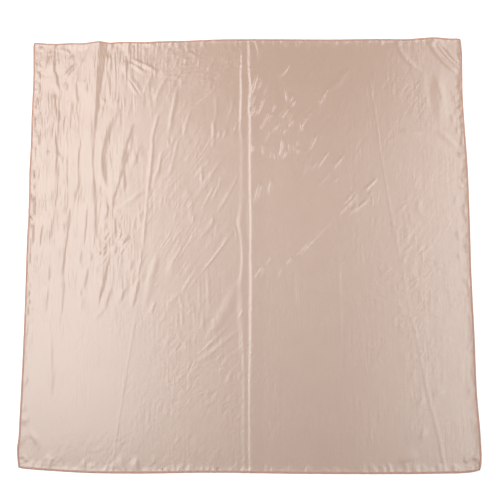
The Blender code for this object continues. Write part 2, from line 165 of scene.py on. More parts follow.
QUARTER_LEFT = (
    (-12.0, -22.30, 0.0, 0.34, 0.30, 0.0, 0.0), (-16.0, -22.90, 0.12, 0.34, 0.30, 0.0, 0.0),
    (-25.0, -24.20, 0.15, 0.34, 0.30, 0.0, 0.0), (-33.0, -25.30, 0.17, 0.34, 0.30, 0.0, 0.0),
    (-40.0, -26.15, 0.22, 0.34, 0.30, 0.0, 0.0), (-47.0, -26.60, 0.32, 0.34, 0.30, 0.0, 0.0))
QUARTER_RIGHT = (
    (39.0, 25.20, 0.0, 0.3, 0.26, 0.0, 0.0), (35.0, 25.60, 0.17, 0.3, 0.26, 0.0, 0.0),
    (27.0, 26.70, 0.19, 0.3, 0.26, 0.0, 0.0), (20.0, 27.30, 0.19, 0.3, 0.26, 0.0, 0.0),
    (14.0, 28.20, 0.18, 0.3, 0.26, 0.0, 0.0), (8.0, 28.95, 0.20, 0.4, 0.4, 0.0, 0.0),
    (0.0, 30.30, 0.12, 0.4, 0.4, 0.0, 0.0), (-10.0, 31.80, 0.12, 0.4, 0.4, 0.0, 0.0),
    (-20.0, 33.70, 0.28, 0.4, 0.3, 0.0, 0.0), (-30.0, 35.35, 0.32, 0.4, 0.3, 0.0, 0.0),
    (-38.0, 37.00, 0.34, 0.4, 0.3, 0.0, 0.0), (-47.0, 38.50, 0.38, 0.4, 0.3, 0.0, 0.0))
LONG_FOLDS = (
    HEM_FOLD, CRESCENT_FOLD, LEFT_FOLD_UPPER, LEFT_FOLD_LOWER, LEFT_FOLD_INNER, MIDDLE_LEFT_SHOULDER,
    MIDDLE_RIGHT_SHOULDER, QUARTER_LEFT, QUARTER_RIGHT)

# Creases, a row each. The line from x1 y1 down to x2 y2 follows the middle of the steeper side, or the
# crest where both are alike. rise is the crest's height in millimetres. left and right are how far the
# cloth takes to come down on each side, in centimetres. bow is how far the line's own middle lies to
# the right of a straight one, and is left out where the line is straight.
Crease = namedtuple("Crease", "x1 y1 x2 y2 rise left right bow", defaults=(0.0,))
TOP_LEFT_CREASES = (
    (-43.0, 44.0, -43.3, 42.5, 0.8, 1.2, 0.5), (-38.7, 43.5, -38.8, 42.5, 0.5, 1.2, 0.4),
    (-38.1, 43.1, -37.4, 42.1, 0.5, 0.8, 0.4), (-36.4, 41.8, -37.0, 39.9, 0.6, 1.0, 0.45),
    (-35.9, 40.0, -38.6, 36.4, 1.0, 0.8, 0.42, 0.15), (-34.8, 46.0, -34.9, 42.6, 0.8, 1.2, 0.45),
    (-35.35, 43.4, -35.2, 39.4, 0.45, 0.8, 0.35), (-34.6, 40.9, -34.4, 38.8, 0.55, 0.8, 0.4),
    (-40.35, 34.2, -40.1, 27.6, 0.9, 1.0, 0.55), (-40.4, 25.7, -40.3, 21.4, 0.45, 1.1, 0.4),
    (-43.7, 38.2, -43.5, 36.0, 0.7, 0.6, 0.4), (-43.5, 35.8, -43.4, 32.2, 0.84, 1.1, 0.42),
    (-44.1, 31.8, -44.3, 29.4, 0.74, 1.0, 0.38), (-43.7, 32.0, -43.6, 29.0, 0.45, 1.2, 0.4),
    (-44.2, 28.4, -44.2, 25.8, 0.74, 1.0, 0.38), (-42.8, 29.0, -42.9, 25.8, 0.78, 1.1, 0.42),
    (-43.3, 25.0, -43.3, 21.2, 0.86, 1.1, 0.44), (-42.7, 37.0, -42.7, 36.2, 0.35, 1.2, 0.3),
    (-41.8, 37.0, -41.8, 36.2, 0.35, 0.8, 0.3), (-37.7, 35.6, -38.0, 33.5, 0.55, 1.3, 0.5),
    (-35.9, 36.0, -35.4, 30.8, 0.55, 1.3, 0.5, -0.15), (-33.9, 36.6, -33.4, 33.0, 0.65, 1.6, 0.5),
    (-29.7, 42.2, -29.7, 40.3, 0.5, 1.2, 0.35), (-28.8, 42.0, -28.9, 37.5, 0.6, 1.4, 0.45, 0.1),
    (-28.4, 46.0, -28.4, 43.0, 0.7, 1.7, 0.4), (-26.6, 46.0, -26.6, 43.6, 0.7, 1.7, 0.4),
    (-24.85, 46.4, -24.85, 41.0, 1.0, 1.5, 0.55), (-25.2, 40.9, -25.6, 37.2, 0.75, 1.2, 0.5),
    (-25.1, 41.3, -18.6, 38.1, 0.75, 1.1, 0.45, 0.25), (-25.2, 40.4, -21.4, 38.0, 0.65, 0.9, 0.4, 0.1),
    (-25.3, 36.8, -22.65, 32.5, 0.35, 0.9, 0.35, 0.1), (-25.0, 36.8, -22.3, 32.6, 0.35, 0.35, 0.9, 0.1),
    (-26.9, 31.6, -28.3, 29.8, 0.45, 1.0, 0.5), (-26.6, 30.0, -27.4, 27.2, 0.35, 1.0, 0.6, 0.15),
    (-28.6, 13.1, -29.5, 12.1, 0.5, 1.2, 0.35), (-29.8, 32.1, -29.8, 30.9, 0.4, 1.0, 0.3),
    (-30.2, 30.2, -30.2, 29.0, 0.4, 1.0, 0.3), (-23.5, 27.0, -26.6, 15.8, 0.94, 2.3, 0.5, -0.1),
    (-24.3, 21.4, -28.1, 7.8, 1.1, 2.6, 0.5, -0.1), (-25.5, 16.2, -25.2, 11.8, 0.4, 1.0, 0.6),
    (-27.3, 9.8, -27.8, 8.0, 0.5, 1.2, 0.35), (-22.1, 21.8, -23.7, 16.5, 0.5, 1.2, 0.6))
LOWER_LEFT_CREASES = (
    (-28.5, 9.0, -29.4, 5.2, 0.8, 1.4, 0.4, 0.1), (-28.7, 5.1, -29.1, 3.6, 0.5, 1.2, 0.35),
    (-27.7, 4.0, -29.5, 1.0, 0.5, 0.5, 0.3), (-27.1, 6.6, -26.9, 1.6, 0.9, 1.6, 0.5, -0.1),
    (-26.2, 5.0, -26.2, 3.6, 0.45, 1.1, 0.35), (-26.0, 3.0, -26.0, 2.2, 0.4, 1.0, 0.3),
    (-23.8, 2.0, -25.5, 0.7, 0.6, 1.4, 0.4), (-28.9, 2.1, -29.2, 1.1, 0.5, 1.2, 0.35),
    (-37.3, 9.0, -37.3, 6.2, 0.5, 1.2, 0.4), (-36.2, 9.4, -37.1, 0.0, 0.85, 1.8, 0.42, -0.1),
    (-36.9, 3.0, -37.7, -7.5, 0.85, 1.8, 0.42, 0.05), (-32.8, 10.0, -33.6, -0.4, 0.75, 1.6, 0.42, 0.05),
    (-43.9, 11.4, -43.4, 6.0, 1.75, 2.6, 1.0, -0.1), (-43.9, 5.3, -43.5, 0.2, 1.66, 2.6, 0.95),
    (-41.7, 5.4, -42.35, -0.6, 0.95, 1.8, 0.46, -0.15), (-40.1, 6.8, -40.5, 0.0, 0.7, 1.6, 0.4, 0.05),
    (-41.4, 7.9, -41.8, 7.1, 0.4, 1.0, 0.3), (-41.7, 6.7, -41.7, 6.0, 0.4, 1.0, 0.3),
    (-39.7, 7.9, -39.1, 7.0, 0.4, 1.0, 0.3), (-40.9, 20.8, -40.9, 18.7, 0.45, 1.1, 0.4),
    (-39.1, 20.4, -38.6, 18.5, 0.5, 1.2, 0.4), (-43.9, 22.0, -43.9, 18.8, 0.72, 1.0, 0.38),
    (-43.9, 16.8, -44.1, 14.0, 0.72, 1.0, 0.4), (-43.1, 17.6, -43.2, 15.6, 0.55, 1.0, 0.36),
    (-43.9, 13.6, -44.1, 11.4, 0.72, 1.0, 0.4), (-21.8, 12.4, -27.4, 7.7, 0.4, 0.4, 1.2, 0.1),
    (-21.2, 12.3, -24.1, 10.5, 0.35, 0.4, 1.0), (-21.5, 7.8, -23.1, 6.0, 0.35, 0.4, 1.0),
    (-43.4, -3.2, -43.0, -6.0, 0.8, 1.0, 0.4), (-40.2, -3.5, -40.3, -7.6, 0.7, 1.4, 0.42, 0.05),
    (-40.3, -8.0, -40.6, -14.2, 0.55, 0.8, 0.45), (-38.0, -3.1, -38.1, -6.8, 0.4, 1.0, 0.4),
    (-36.8, -5.5, -37.6, -16.4, 0.5, 1.6, 0.45, -0.1), (-38.2, -7.0, -38.2, -11.8, 0.35, 0.8, 0.45),
    (-39.4, -16.4, -38.9, -30.8, 0.45, 1.1, 0.42, 0.1), (-38.4, -24.0, -38.9, -31.0, 0.32, 1.0, 0.36),
    (-33.8, -0.5, -34.1, -4.1, 0.5, 1.0, 0.5), (-31.7, -1.2, -31.8, -3.2, 0.55, 1.2, 0.4),
    (-32.25, -3.9, -33.05, -9.4, 0.68, 1.6, 0.45, -0.05), (-33.7, -8.7, -33.7, -10.4, 0.35, 0.8, 0.3),
    (-33.2, -10.3, -33.3, -13.6, 0.4, 1.0, 0.5), (-27.7, 1.4, -31.0, -2.6, 0.62, 0.7, 0.32),
    (-29.1, -2.1, -30.1, -4.6, 0.6, 1.4, 0.4), (-27.9, -0.8, -30.3, -12.6, 1.1, 2.4, 0.6, 0.1),
    (-27.7, -8.7, -28.8, -13.5, 0.34, 1.3, 0.5), (-28.7, -13.1, -30.9, -15.5, 0.3, 1.3, 0.5),
    (-24.5, -8.4, -25.6, -11.5, 0.6, 1.4, 0.45, -0.1), (-26.1, -10.3, -26.9, -12.1, 0.3, 0.4, 0.9),
    (-26.55, 0.3, -27.15, -1.9, 0.5, 1.2, 0.4), (-24.6, 1.9, -25.6, 0.2, 0.5, 1.2, 0.4),
    (-23.3, -2.6, -23.8, -5.4, 0.4, 1.0, 0.5), (-22.2, -7.6, -23.15, -12.6, 0.6, 1.4, 0.5, 0.1),
    (-43.0, -37.0, -40.2, -40.2, 0.6, 0.9, 0.7), (-27.4, 2.8, -29.7, -0.4, 0.48, 0.34, 0.28),
    (-28.1, 0.4, -30.5, -3.6, 0.48, 0.34, 0.28), (-27.9, -0.6, -29.7, -4.2, 0.48, 0.34, 0.28),
    (-24.1, 2.6, -26.2, 0.0, 0.38, 0.34, 0.28), (-25.4, 3.2, -26.9, 0.6, 0.38, 0.34, 0.28),
    (-24.6, 0.4, -26.4, -2.4, 0.38, 0.34, 0.28), (-44.15, -1.2, -44.15, -3.4, 0.78, 0.7, 0.38),
    (-44.05, -7.2, -43.95, -8.8, 0.78, 0.7, 0.38), (-44.15, -9.0, -44.15, -10.4, 0.78, 0.7, 0.38),
    (-43.95, -10.8, -43.95, -12.2, 0.78, 0.7, 0.38), (-44.25, -12.4, -44.25, -14.2, 0.78, 0.7, 0.38),
    (-43.85, -26.4, -43.85, -28.0, 0.6, 0.7, 0.38), (-44.05, -31.8, -44.15, -33.4, 0.6, 0.7, 0.38))
MIDDLE_LEFT_CREASES = (
    (-22.4, 44.2, -19.0, 44.2, 0.6, 0.4, 0.4), (-21.9, 43.6, -22.0, 41.3, 0.3, 0.35, 0.8),
    (-19.4, 43.4, -19.4, 42.2, 0.3, 0.35, 0.4), (-20.3, 37.9, -22.3, 33.0, 0.45, 0.4, 1.1),
    (-16.9, 37.4, -19.7, 30.7, 0.45, 0.5, 1.0, -0.5), (-13.4, 36.2, -15.1, 34.3, 0.3, 0.3, 0.6),
    (-14.9, 35.0, -16.8, 23.6, 0.55, 0.38, 0.9, -0.15), (-18.2, 29.4, -20.0, 21.0, 0.5, 0.6, 0.38, -0.15),
    (-19.5, 23.8, -20.6, 10.6, 0.7, 0.8, 0.36, 0.2), (-20.55, 15.8, -21.1, 8.0, 0.4, 0.36, 0.7),
    (-16.3, 23.2, -16.3, 21.4, 0.3, 0.5, 0.4), (-20.85, 10.8, -21.7, -0.8, 0.5, 0.36, 0.5),
    (-21.6, 0.4, -22.3, -7.0, 0.5, 0.4, 0.4), (-22.15, -7.0, -22.55, -10.0, 0.5, 0.7, 0.4),
    (-11.9, 30.2, -13.6, 23.2, 0.32, 0.32, 0.7, -0.25), (-6.3, 34.8, -12.3, 29.7, 0.34, 0.32, 0.7, 0.1),
    (-6.8, 33.0, -6.9, 26.6, 0.28, 0.28, 0.6), (-6.85, 28.4, -7.3, 20.6, 0.44, 0.34, 0.34),
    (-7.4, 27.4, -7.5, 23.0, 0.51, 0.3, 0.4), (-1.9, 27.3, -3.7, 23.4, 0.34, 0.26, 0.34),
    (-4.4, 25.7, -5.4, 22.8, 0.38, 0.3, 0.34), (-5.8, 24.9, -6.5, 22.8, 0.42, 0.3, 0.34),
    (-2.9, 33.0, -4.7, 26.0, 0.26, 0.3, 0.6, 0.1), (-3.9, 41.6, -4.8, 39.4, 0.34, 0.3, 0.5),
    (-3.4, 40.7, -4.0, 39.2, 0.26, 0.26, 0.4), (-3.2, 40.3, -7.8, 36.0, 0.3, 0.3, 0.7, 0.3),
    (-7.3, 41.9, -7.6, 39.9, 0.26, 0.3, 0.5), (-7.5, 40.3, -8.8, 38.0, 0.42, 0.36, 0.8),
    (-1.5, 37.1, -4.4, 34.9, 0.3, 0.36, 0.7), (-13.2, 41.4, -13.6, 40.0, 0.3, 0.4, 0.6),
    (-14.3, 40.2, -14.6, 39.0, 0.25, 0.4, 0.6), (-11.65, 10.8, -12.1, 5.8, 0.27, 0.4, 0.32),
    (-9.9, 15.9, -9.7, 13.1, 0.3, 0.32, 0.6), (-14.7, 7.5, -15.5, 5.1, 0.28, 0.3, 0.5),
    (-16.8, 11.3, -17.6, 8.7, 0.25, 0.35, 0.6), (-7.3, 6.5, -7.6, 4.5, 0.34, 0.3, 0.5),
    (-11.1, 7.1, -11.7, 4.7, 0.33, 0.3, 0.4), (-18.4, -11.3, -19.6, -14.5, 0.4, 0.8, 0.45),
    (-10.2, -6.5, -11.5, -8.1, 0.24, 0.28, 0.3), (-9.8, -7.3, -11.0, -8.6, 0.24, 0.28, 0.3),
    (-3.6, -26.5, -4.9, -28.0, 0.3, 0.4, 0.8), (-1.6, -25.8, -2.2, -27.0, 0.24, 0.35, 0.5),
    (-1.9, -25.8, 0.2, -25.2, 0.3, 0.5, 0.4), (-26.0, -0.95, 13.0, -1.25, 0.16, 0.4, 0.4),
    (-4.9, 20.2, -11.7, 9.9, 0.42, 0.7, 0.75, 0.2), (-11.55, 10.6, -12.0, 5.4, 0.35, 0.34, 0.4),
    (-9.9, 17.6, -9.75, 13.0, 0.3, 0.32, 0.5, 0.05), (-6.3, 14.3, -9.3, 8.4, 0.24, 0.3, 0.3, 0.1),
    (-6.7, 13.5, -9.9, 7.0, 0.24, 0.3, 0.3), (-5.6, 14.6, -7.9, 9.4, 0.3, 0.32, 0.6, 0.1),
    (-1.6, 16.6, -6.9, 6.3, 0.3, 0.3, 0.4, 0.2), (-3.0, 12.6, -6.3, 6.6, 0.34, 0.7, 0.4),
    (-6.7, 6.0, -9.7, 1.9, 0.36, 0.8, 0.8, 0.1), (-2.5, 4.4, -10.4, -6.8, 0.34, 0.36, 0.28, 0.4),
    (-3.2, 3.0, -9.9, -5.8, 0.2, 0.5, 0.3, 0.4), (-2.9, 4.6, -2.2, 1.6, 0.22, 0.3, 0.3),
    (-9.3, -5.6, -12.4, -8.9, 0.24, 0.3, 0.26), (-9.9, -7.0, -12.2, -8.6, 0.2, 0.24, 0.26),
    (-10.9, -5.6, -13.7, -10.4, 0.34, 0.5, 0.5, -0.2), (-14.0, -9.0, -15.8, -12.0, 0.34, 0.3, 0.4, 0.1),
    (-15.0, -10.2, -16.8, -12.4, 0.3, 0.28, 0.3), (-13.9, -9.2, -13.2, -13.0, 0.26, 0.36, 0.3),
    (-13.3, -12.4, -13.1, -17.2, 0.28, 0.36, 0.32), (-14.1, -13.0, -14.1, -17.4, 0.26, 0.4, 0.32),
    (-12.2, -8.4, -12.0, -12.0, 0.22, 0.32, 0.3), (-11.5, -10.6, -10.7, -16.6, 0.26, 0.4, 0.34, 0.3),
    (-9.75, -6.2, -9.7, -14.4, 0.26, 0.36, 0.3), (-8.35, -3.8, -8.3, -13.4, 0.24, 0.3, 0.5),
    (-8.9, -13.6, -9.0, -17.6, 0.28, 0.8, 0.36), (-10.1, -13.2, -9.9, -17.0, 0.24, 0.4, 0.3),
    (-1.9, -5.6, -9.2, -19.6, 0.55, 1.7, 1.9, 0.2), (-0.7, -12.0, -10.9, -23.3, 0.22, 0.3, 0.26, 0.2),
    (-1.6, -13.8, -10.9, -22.9, 0.2, 0.26, 0.28, 0.1), (-2.6, -15.2, -11.4, -23.6, 0.2, 0.26, 0.26, 0.1),
    (-1.1, -12.6, -2.2, -15.2, 0.3, 0.3, 0.4), (-1.5, -17.2, -10.4, -24.4, 0.34, 0.9, 0.4, 0.2),
    (-17.4, 21.0, -19.8, 11.6, 0.42, 0.6, 0.5, 0.2), (-18.2, 20.6, -18.9, 13.6, 0.26, 0.36, 0.5),
    (-14.2, 25.0, -16.9, 12.0, 0.26, 0.4, 0.7, -0.2), (-15.1, 24.6, -16.3, 17.4, 0.22, 0.6, 0.3),
    (-18.6, -0.4, -21.3, -9.0, 0.36, 0.5, 1.2, 0.1), (-17.7, -1.6, -20.9, -13.8, 0.32, 1.2, 1.0, 0.1),
    (-13.1, -0.7, -15.9, -7.0, 0.34, 1.6, 1.2))
RIGHT_CREASES = (
    (1.2, 45.6, 2.1, 40.0, 0.6, 0.6, 0.9, 0.3), (7.0, 23.9, 6.0, 18.4, 0.73, 0.23, 0.34, 0.3),
    (8.4, 22.1, 8.35, 20.2, 0.6, 0.19, 0.28), (8.1, 20.9, 7.0, 18.4, 0.6, 0.21, 0.28),
    (10.0, 23.1, 10.1, 21.2, 0.49, 0.19, 0.28), (10.2, 21.3, 10.1, 19.7, 0.35, 0.19, 0.28),
    (3.0, 22.2, 3.2, 19.2, 0.63, 0.21, 0.28, -0.2), (4.95, 20.5, 4.4, 18.4, 0.49, 0.19, 0.27),
    (5.3, 20.2, 5.5, 18.2, 0.46, 0.19, 0.27), (0.95, 22.2, 0.7, 19.8, 0.7, 0.25, 0.28),
    (12.5, 46.0, 12.4, 42.6, 0.5, 0.5, 0.6), (13.3, 38.7, 12.4, 36.1, 0.42, 0.32, 0.47),
    (14.2, 24.5, 12.0, 20.0, 0.77, 0.28, 0.4, 0.1), (13.5, 18.2, 13.0, 16.3, 0.53, 0.28, 0.34),
    (17.0, 16.3, 13.0, 11.9, 0.32, 0.5, 0.6), (18.6, 15.2, 16.4, 13.1, 0.32, 0.5, 0.6),
    (2.6, 14.2, 0.8, 8.6, 0.59, 0.5, 0.6), (4.9, 14.4, 4.1, 10.8, 0.53, 0.6, 0.7, -0.2),
    (22.0, 12.0, 18.2, 7.7, 0.8, 0.36, 0.4), (22.5, 11.3, 17.5, 5.9, 0.85, 0.36, 0.4),
    (22.7, 9.6, 20.0, 6.4, 0.75, 0.34, 0.4), (17.9, 6.6, 10.7, -0.9, 0.48, 0.4, 0.5),
    (13.4, 1.7, 9.7, -2.4, 0.53, 0.4, 0.4), (9.2, -2.3, 7.8, -3.9, 0.59, 0.5, 0.5),
    (7.1, -4.0, 6.1, -6.7, 0.32, 0.4, 0.4), (4.7, -2.0, 3.4, -4.0, 0.43, 0.5, 0.6),
    (3.3, -3.7, 0.9, -7.0, 0.69, 0.35, 0.4), (3.1, -4.9, 1.4, -7.0, 0.53, 0.3, 0.35),
    (9.8, -4.3, 9.9, -14.2, 0.32, 0.35, 0.35), (18.2, 1.2, 18.3, -22.0, 0.26, 0.6, 0.6),
    (26.6, 14.7, 23.2, 11.5, 0.7, 0.38, 0.45), (25.7, 11.4, 24.7, 10.5, 0.51, 0.5, 0.35),
    (25.5, 11.2, 25.2, 8.0, 0.46, 0.3, 0.3), (25.0, 10.6, 20.2, 6.6, 0.75, 0.38, 0.42, 0.1),
    (33.2, 10.6, 31.0, 9.3, 0.21, 0.36, 0.48), (33.1, 9.2, 29.4, 6.0, 0.23, 0.54, 0.36, 0.1),
    (35.2, 10.4, 35.1, 6.3, 0.26, 0.72, 0.42), (29.2, 5.7, 29.6, 3.8, 0.21, 0.36, 0.36),
    (31.1, 4.6, 30.0, 2.6, 0.21, 0.36, 0.36), (31.9, 4.8, 31.4, 3.8, 0.18, 0.36, 0.36),
    (30.6, 2.6, 29.6, 0.4, 0.21, 0.36, 0.36), (32.2, 4.6, 31.8, -0.2, 0.21, 0.6, 0.72),
    (33.6, 0.4, 30.8, -2.0, 0.31, 0.36, 0.36), (32.3, -1.2, 30.7, -3.8, 0.31, 0.36, 0.36, 0.1),
    (31.9, -2.8, 31.1, -4.3, 0.26, 0.36, 0.36), (29.8, -5.2, 29.1, -7.2, 0.27, 0.36, 0.36),
    (29.1, -4.6, 27.1, -6.3, 0.23, 0.48, 0.36), (35.6, -0.1, 33.9, -1.2, 0.23, 0.48, 0.36),
    (34.1, -6.3, 32.7, -8.5, 0.21, 0.36, 0.48), (40.7, -8.3, 40.7, -10.7, 0.27, 0.42, 0.36),
    (38.3, -10.2, 38.3, -11.9, 0.26, 0.48, 0.36), (39.1, -13.7, 36.4, -14.7, 0.21, 0.36, 0.36),
    (40.2, -16.7, 36.4, -18.1, 0.21, 0.36, 0.36), (39.7, -18.5, 39.9, -20.2, 0.26, 0.36, 0.36),
    (38.8, -30.1, 36.3, -30.9, 0.51, 0.8, 0.7), (35.1, -31.6, 33.3, -32.7, 0.57, 0.8, 0.6),
    (34.3, -36.8, 33.2, -39.5, 0.57, 0.7, 0.8), (2.1, 38.0, 0.4, 32.2, 0.8, 0.34, 0.42, -0.1),
    (1.5, 33.4, 0.3, 29.6, 0.5, 0.26, 0.3), (2.9, 37.0, 1.6, 33.4, 0.5, 0.26, 0.36, 0.1),
    (3.5, 32.4, 1.2, 27.6, 0.72, 0.22, 0.34, 0.1), (1.5, 30.6, 0.3, 27.6, 0.7, 0.26, 0.34),
    (5.7, 31.1, 4.7, 28.6, 0.56, 0.22, 0.34, 0.1), (4.9, 29.5, 2.0, 24.4, 0.75, 0.22, 0.36, -0.1),
    (5.4, 28.9, 4.0, 26.6, 0.45, 0.2, 0.28), (4.4, 36.0, 2.2, 30.8, 0.34, 0.9, 1.0, 0.2),
    (7.7, 34.8, 8.2, 30.6, 0.6, 0.2, 0.3, -0.1), (9.5, 32.8, 8.2, 30.8, 0.6, 0.2, 0.28),
    (9.9, 31.9, 8.9, 29.9, 0.72, 0.22, 0.3), (8.5, 31.0, 5.3, 26.6, 0.5, 0.2, 0.28, 0.1),
    (8.4, 30.0, 6.6, 27.2, 0.6, 0.2, 0.28), (9.0, 29.6, 7.6, 27.8, 0.4, 0.2, 0.26),
    (9.5, 27.6, 8.2, 25.4, 0.6, 0.2, 0.28), (7.0, 27.2, 4.5, 24.0, 0.55, 0.2, 0.3),
    (8.0, 26.0, 7.1, 23.8, 0.55, 0.2, 0.28), (9.0, 28.8, 8.2, 26.6, 0.35, 0.2, 0.26),
    (4.7, 25.6, 3.3, 22.0, 0.4, 0.24, 0.34, 0.1), (6.1, 26.4, 5.4, 24.6, 0.4, 0.2, 0.28),
    (8.9, 40.3, 5.9, 36.2, 0.7, 0.26, 0.36, 0.3), (20.6, 39.0, 16.4, 33.6, 0.34, 1.1, 1.4),
    (17.2, 34.6, 14.4, 29.6, 0.55, 0.24, 0.4, -0.5), (16.0, 33.4, 14.6, 30.4, 0.3, 0.3, 0.9),
    (13.8, 29.6, 10.9, 25.2, 0.5, 0.24, 0.36, -0.5), (11.0, 26.8, 11.1, 24.4, 0.5, 0.3, 0.4, -0.2),
    (12.8, 20.2, 11.0, 14.4, 0.34, 0.26, 0.4, 0.1), (16.8, 20.6, 13.6, 16.0, 0.85, 0.26, 0.34, -0.15),
    (19.9, 19.9, 16.7, 15.8, 0.8, 0.26, 0.34), (18.6, 19.0, 16.6, 16.3, 0.4, 0.2, 0.24),
    (15.1, 24.0, 14.3, 22.0, 0.4, 0.2, 0.26), (14.4, 19.0, 13.0, 16.2, 0.3, 0.24, 0.3),
    (9.5, 21.8, 9.3, 20.0, 0.35, 0.2, 0.26), (10.4, 36.4, 9.9, 33.0, 0.2, 0.8, 0.9),
    (12.9, 37.6, 12.2, 33.6, 0.2, 0.8, 0.9))
CORNER_FOLDS = (
    (38.3, 45.0, 44.6, 37.2, 0.95, 0.75, 0.6, -0.5), (39.4, 44.8, 44.9, 37.9, 0.52, 0.24, 0.4, -0.4),
    (40.4, 44.6, 45.0, 38.9, 0.46, 0.24, 0.4, -0.3), (42.0, 43.4, 44.2, 40.4, 0.6, 0.7, 0.6),
    (31.0, 44.4, 36.6, 37.4, 0.55, 0.6, 1.0, -0.9), (37.0, 39.5, 38.0, 28.0, 0.22, 2.2, 1.1),
    (39.2, 36.4, 40.7, 30.0, 0.3, 0.36, 1.4), (40.8, 38.5, 41.2, 25.4, 0.5, 2.4, 2.0),
    (44.2, 35.8, 44.2, 33.4, 0.6, 0.4, 0.5), (43.0, 32.8, 42.9, 30.8, 0.4, 0.35, 0.5),
    (44.2, 31.8, 44.1, 28.8, 0.5, 0.36, 0.4), (42.5, 28.4, 42.4, 26.2, 0.4, 0.35, 0.5),
    (44.2, 28.2, 44.3, 26.0, 0.5, 0.36, 0.4), (43.4, 25.8, 43.2, 23.6, 0.35, 0.35, 0.5),
    (44.3, 23.8, 44.4, 21.2, 0.6, 0.4, 0.4), (36.4, 24.2, 31.0, 25.0, 0.3, 0.8, 1.0),
    (38.8, 24.6, 43.2, 20.4, 0.4, 1.0, 1.2), (43.0, 10.8, 42.6, 8.4, 0.28, 0.6, 0.54),
    (44.3, 9.2, 44.4, 5.6, 0.39, 0.54, 0.3), (43.2, 3.4, 43.1, 0.8, 0.5, 0.72, 0.66),
    (43.0, -1.2, 43.0, -3.2, 0.39, 0.66, 0.54), (43.7, -9.0, 43.4, -10.4, 0.33, 0.42, 0.3),
    (44.4, -6.8, 44.5, -9.4, 0.39, 0.48, 0.3), (44.5, -13.6, 44.5, -16.0, 0.39, 0.42, 0.3),
    (44.4, -41.8, 42.0, -44.2, 0.35, 0.9, 0.8), (45.2, -43.4, 44.2, -45.4, 0.5, 0.8, 0.6))
HEM_CREASES = (
    (-43.3, -42.4, -43.2, -43.6, 0.35, 0.6, 0.5), (-42.3, -43.2, -42.2, -45.6, 0.4, 0.5, 0.4),
    (-41.2, -43.9, -41.2, -46.2, 0.4, 0.5, 0.4), (-39.2, -42.1, -39.3, -43.2, 0.25, 0.6, 0.4),
    (-38.0, -42.4, -38.1, -43.3, 0.25, 0.5, 0.4), (-38.6, -42.0, -38.6, -45.6, 0.7, 1.4, 0.6),
    (-33.3, -44.2, -33.3, -47.0, 0.6, 0.5, 0.4), (-32.0, -42.8, -31.8, -45.8, 0.7, 0.8, 0.6),
    (-30.0, -44.6, -30.0, -47.6, 0.6, 0.5, 0.4), (-27.5, -43.8, -27.5, -46.6, 0.5, 0.6, 0.5),
    (-24.6, -42.4, -24.3, -45.8, 0.6, 1.9, 0.9), (-18.7, -42.2, -19.0, -44.2, 0.3, 0.5, 0.8),
    (-11.5, -43.4, -11.5, -47.0, 0.5, 0.7, 0.7), (-6.9, -44.0, -6.9, -47.2, 0.5, 0.5, 0.5),
    (27.1, -43.6, 27.5, -47.0, 0.5, 0.6, 0.6), (33.2, -42.2, 29.2, -44.4, 0.5, 1.4, 1.2),
    (40.3, -44.0, 40.5, -47.4, 0.5, 0.9, 0.8), (5.3, 46.6, 5.3, 43.4, 0.4, 0.4, 0.5),
    (14.4, 46.4, 14.4, 43.4, 0.35, 0.4, 0.5), (18.3, 46.8, 18.8, 43.2, 0.35, 0.5, 0.5),
    (-21.7, -42.6, -21.4, -46.2, 1.0, 1.5, 1.0), (-26.5, -43.8, -26.5, -46.4, 0.6, 0.6, 0.5))
CREASES = (
    *TOP_LEFT_CREASES, *LOWER_LEFT_CREASES, *MIDDLE_LEFT_CREASES, *RIGHT_CREASES, *CORNER_FOLDS,
    *HEM_CREASES)
CREASE_BLUNTNESS = 0.4      # width of a crease at its ends, as a share of its width in the middle

# Patches of small crossed crumples: their middle and size in centimetres, how many, and how high in mm
PATCHES = (
    (-28.1, 0.8, 1.4, 1.8, 9, 0.22), (-17.2, 8.8, 1.6, 2.4, 9, 0.22), (-12.1, -12.8, 1.5, 1.8, 8, 0.22),
    (23.2, 10.8, 3.0, 3.2, 16, 0.16), (31.0, 2.6, 3.4, 4.2, 16, 0.16), (39.8, -11.4, 4.0, 4.6, 14, 0.16),
    (43.2, -44.2, 2.4, 1.6, 8, 0.25), (5.0, 26.0, 9.0, 9.0, 26, 0.10), (-41.0, 40.0, 6.0, 7.0, 16, 0.22),
    (-26.0, 4.0, 6.0, 8.0, 16, 0.12))

# Small gathers at the hems: how deep they are and how far each side takes to come down, from the least
# to the most, and how far along a hem from its middle they go, in centimetres
PUCKER_DEPTH = (0.4, 1.3)
PUCKER_STEEP = (0.30, 0.45)
PUCKER_GENTLE = (0.8, 1.5)
PUCKER_REACH = 44.0
PUCKER_INWARDS = 1.7        # how far in it starts and how far out it ends, as shares of its depth
PUCKER_OUTWARDS = 0.3

BILLOW_WAVES = (0.26, 0.19, 0.13, 0.09, 0.07, 0.055)    # lengths of the soft unevenness's waves, metres

# Fine crinkles, a row for each way they run: degrees that they lean to the right at their upper end,
# how many cross a metre, their width as a share of their length, and their height in millimetres
CRINKLES = (
    (0.0, 190.0, 0.14, 0.55), (32.0, 150.0, 0.16, 0.42), (50.0, 150.0, 0.60, 0.42))

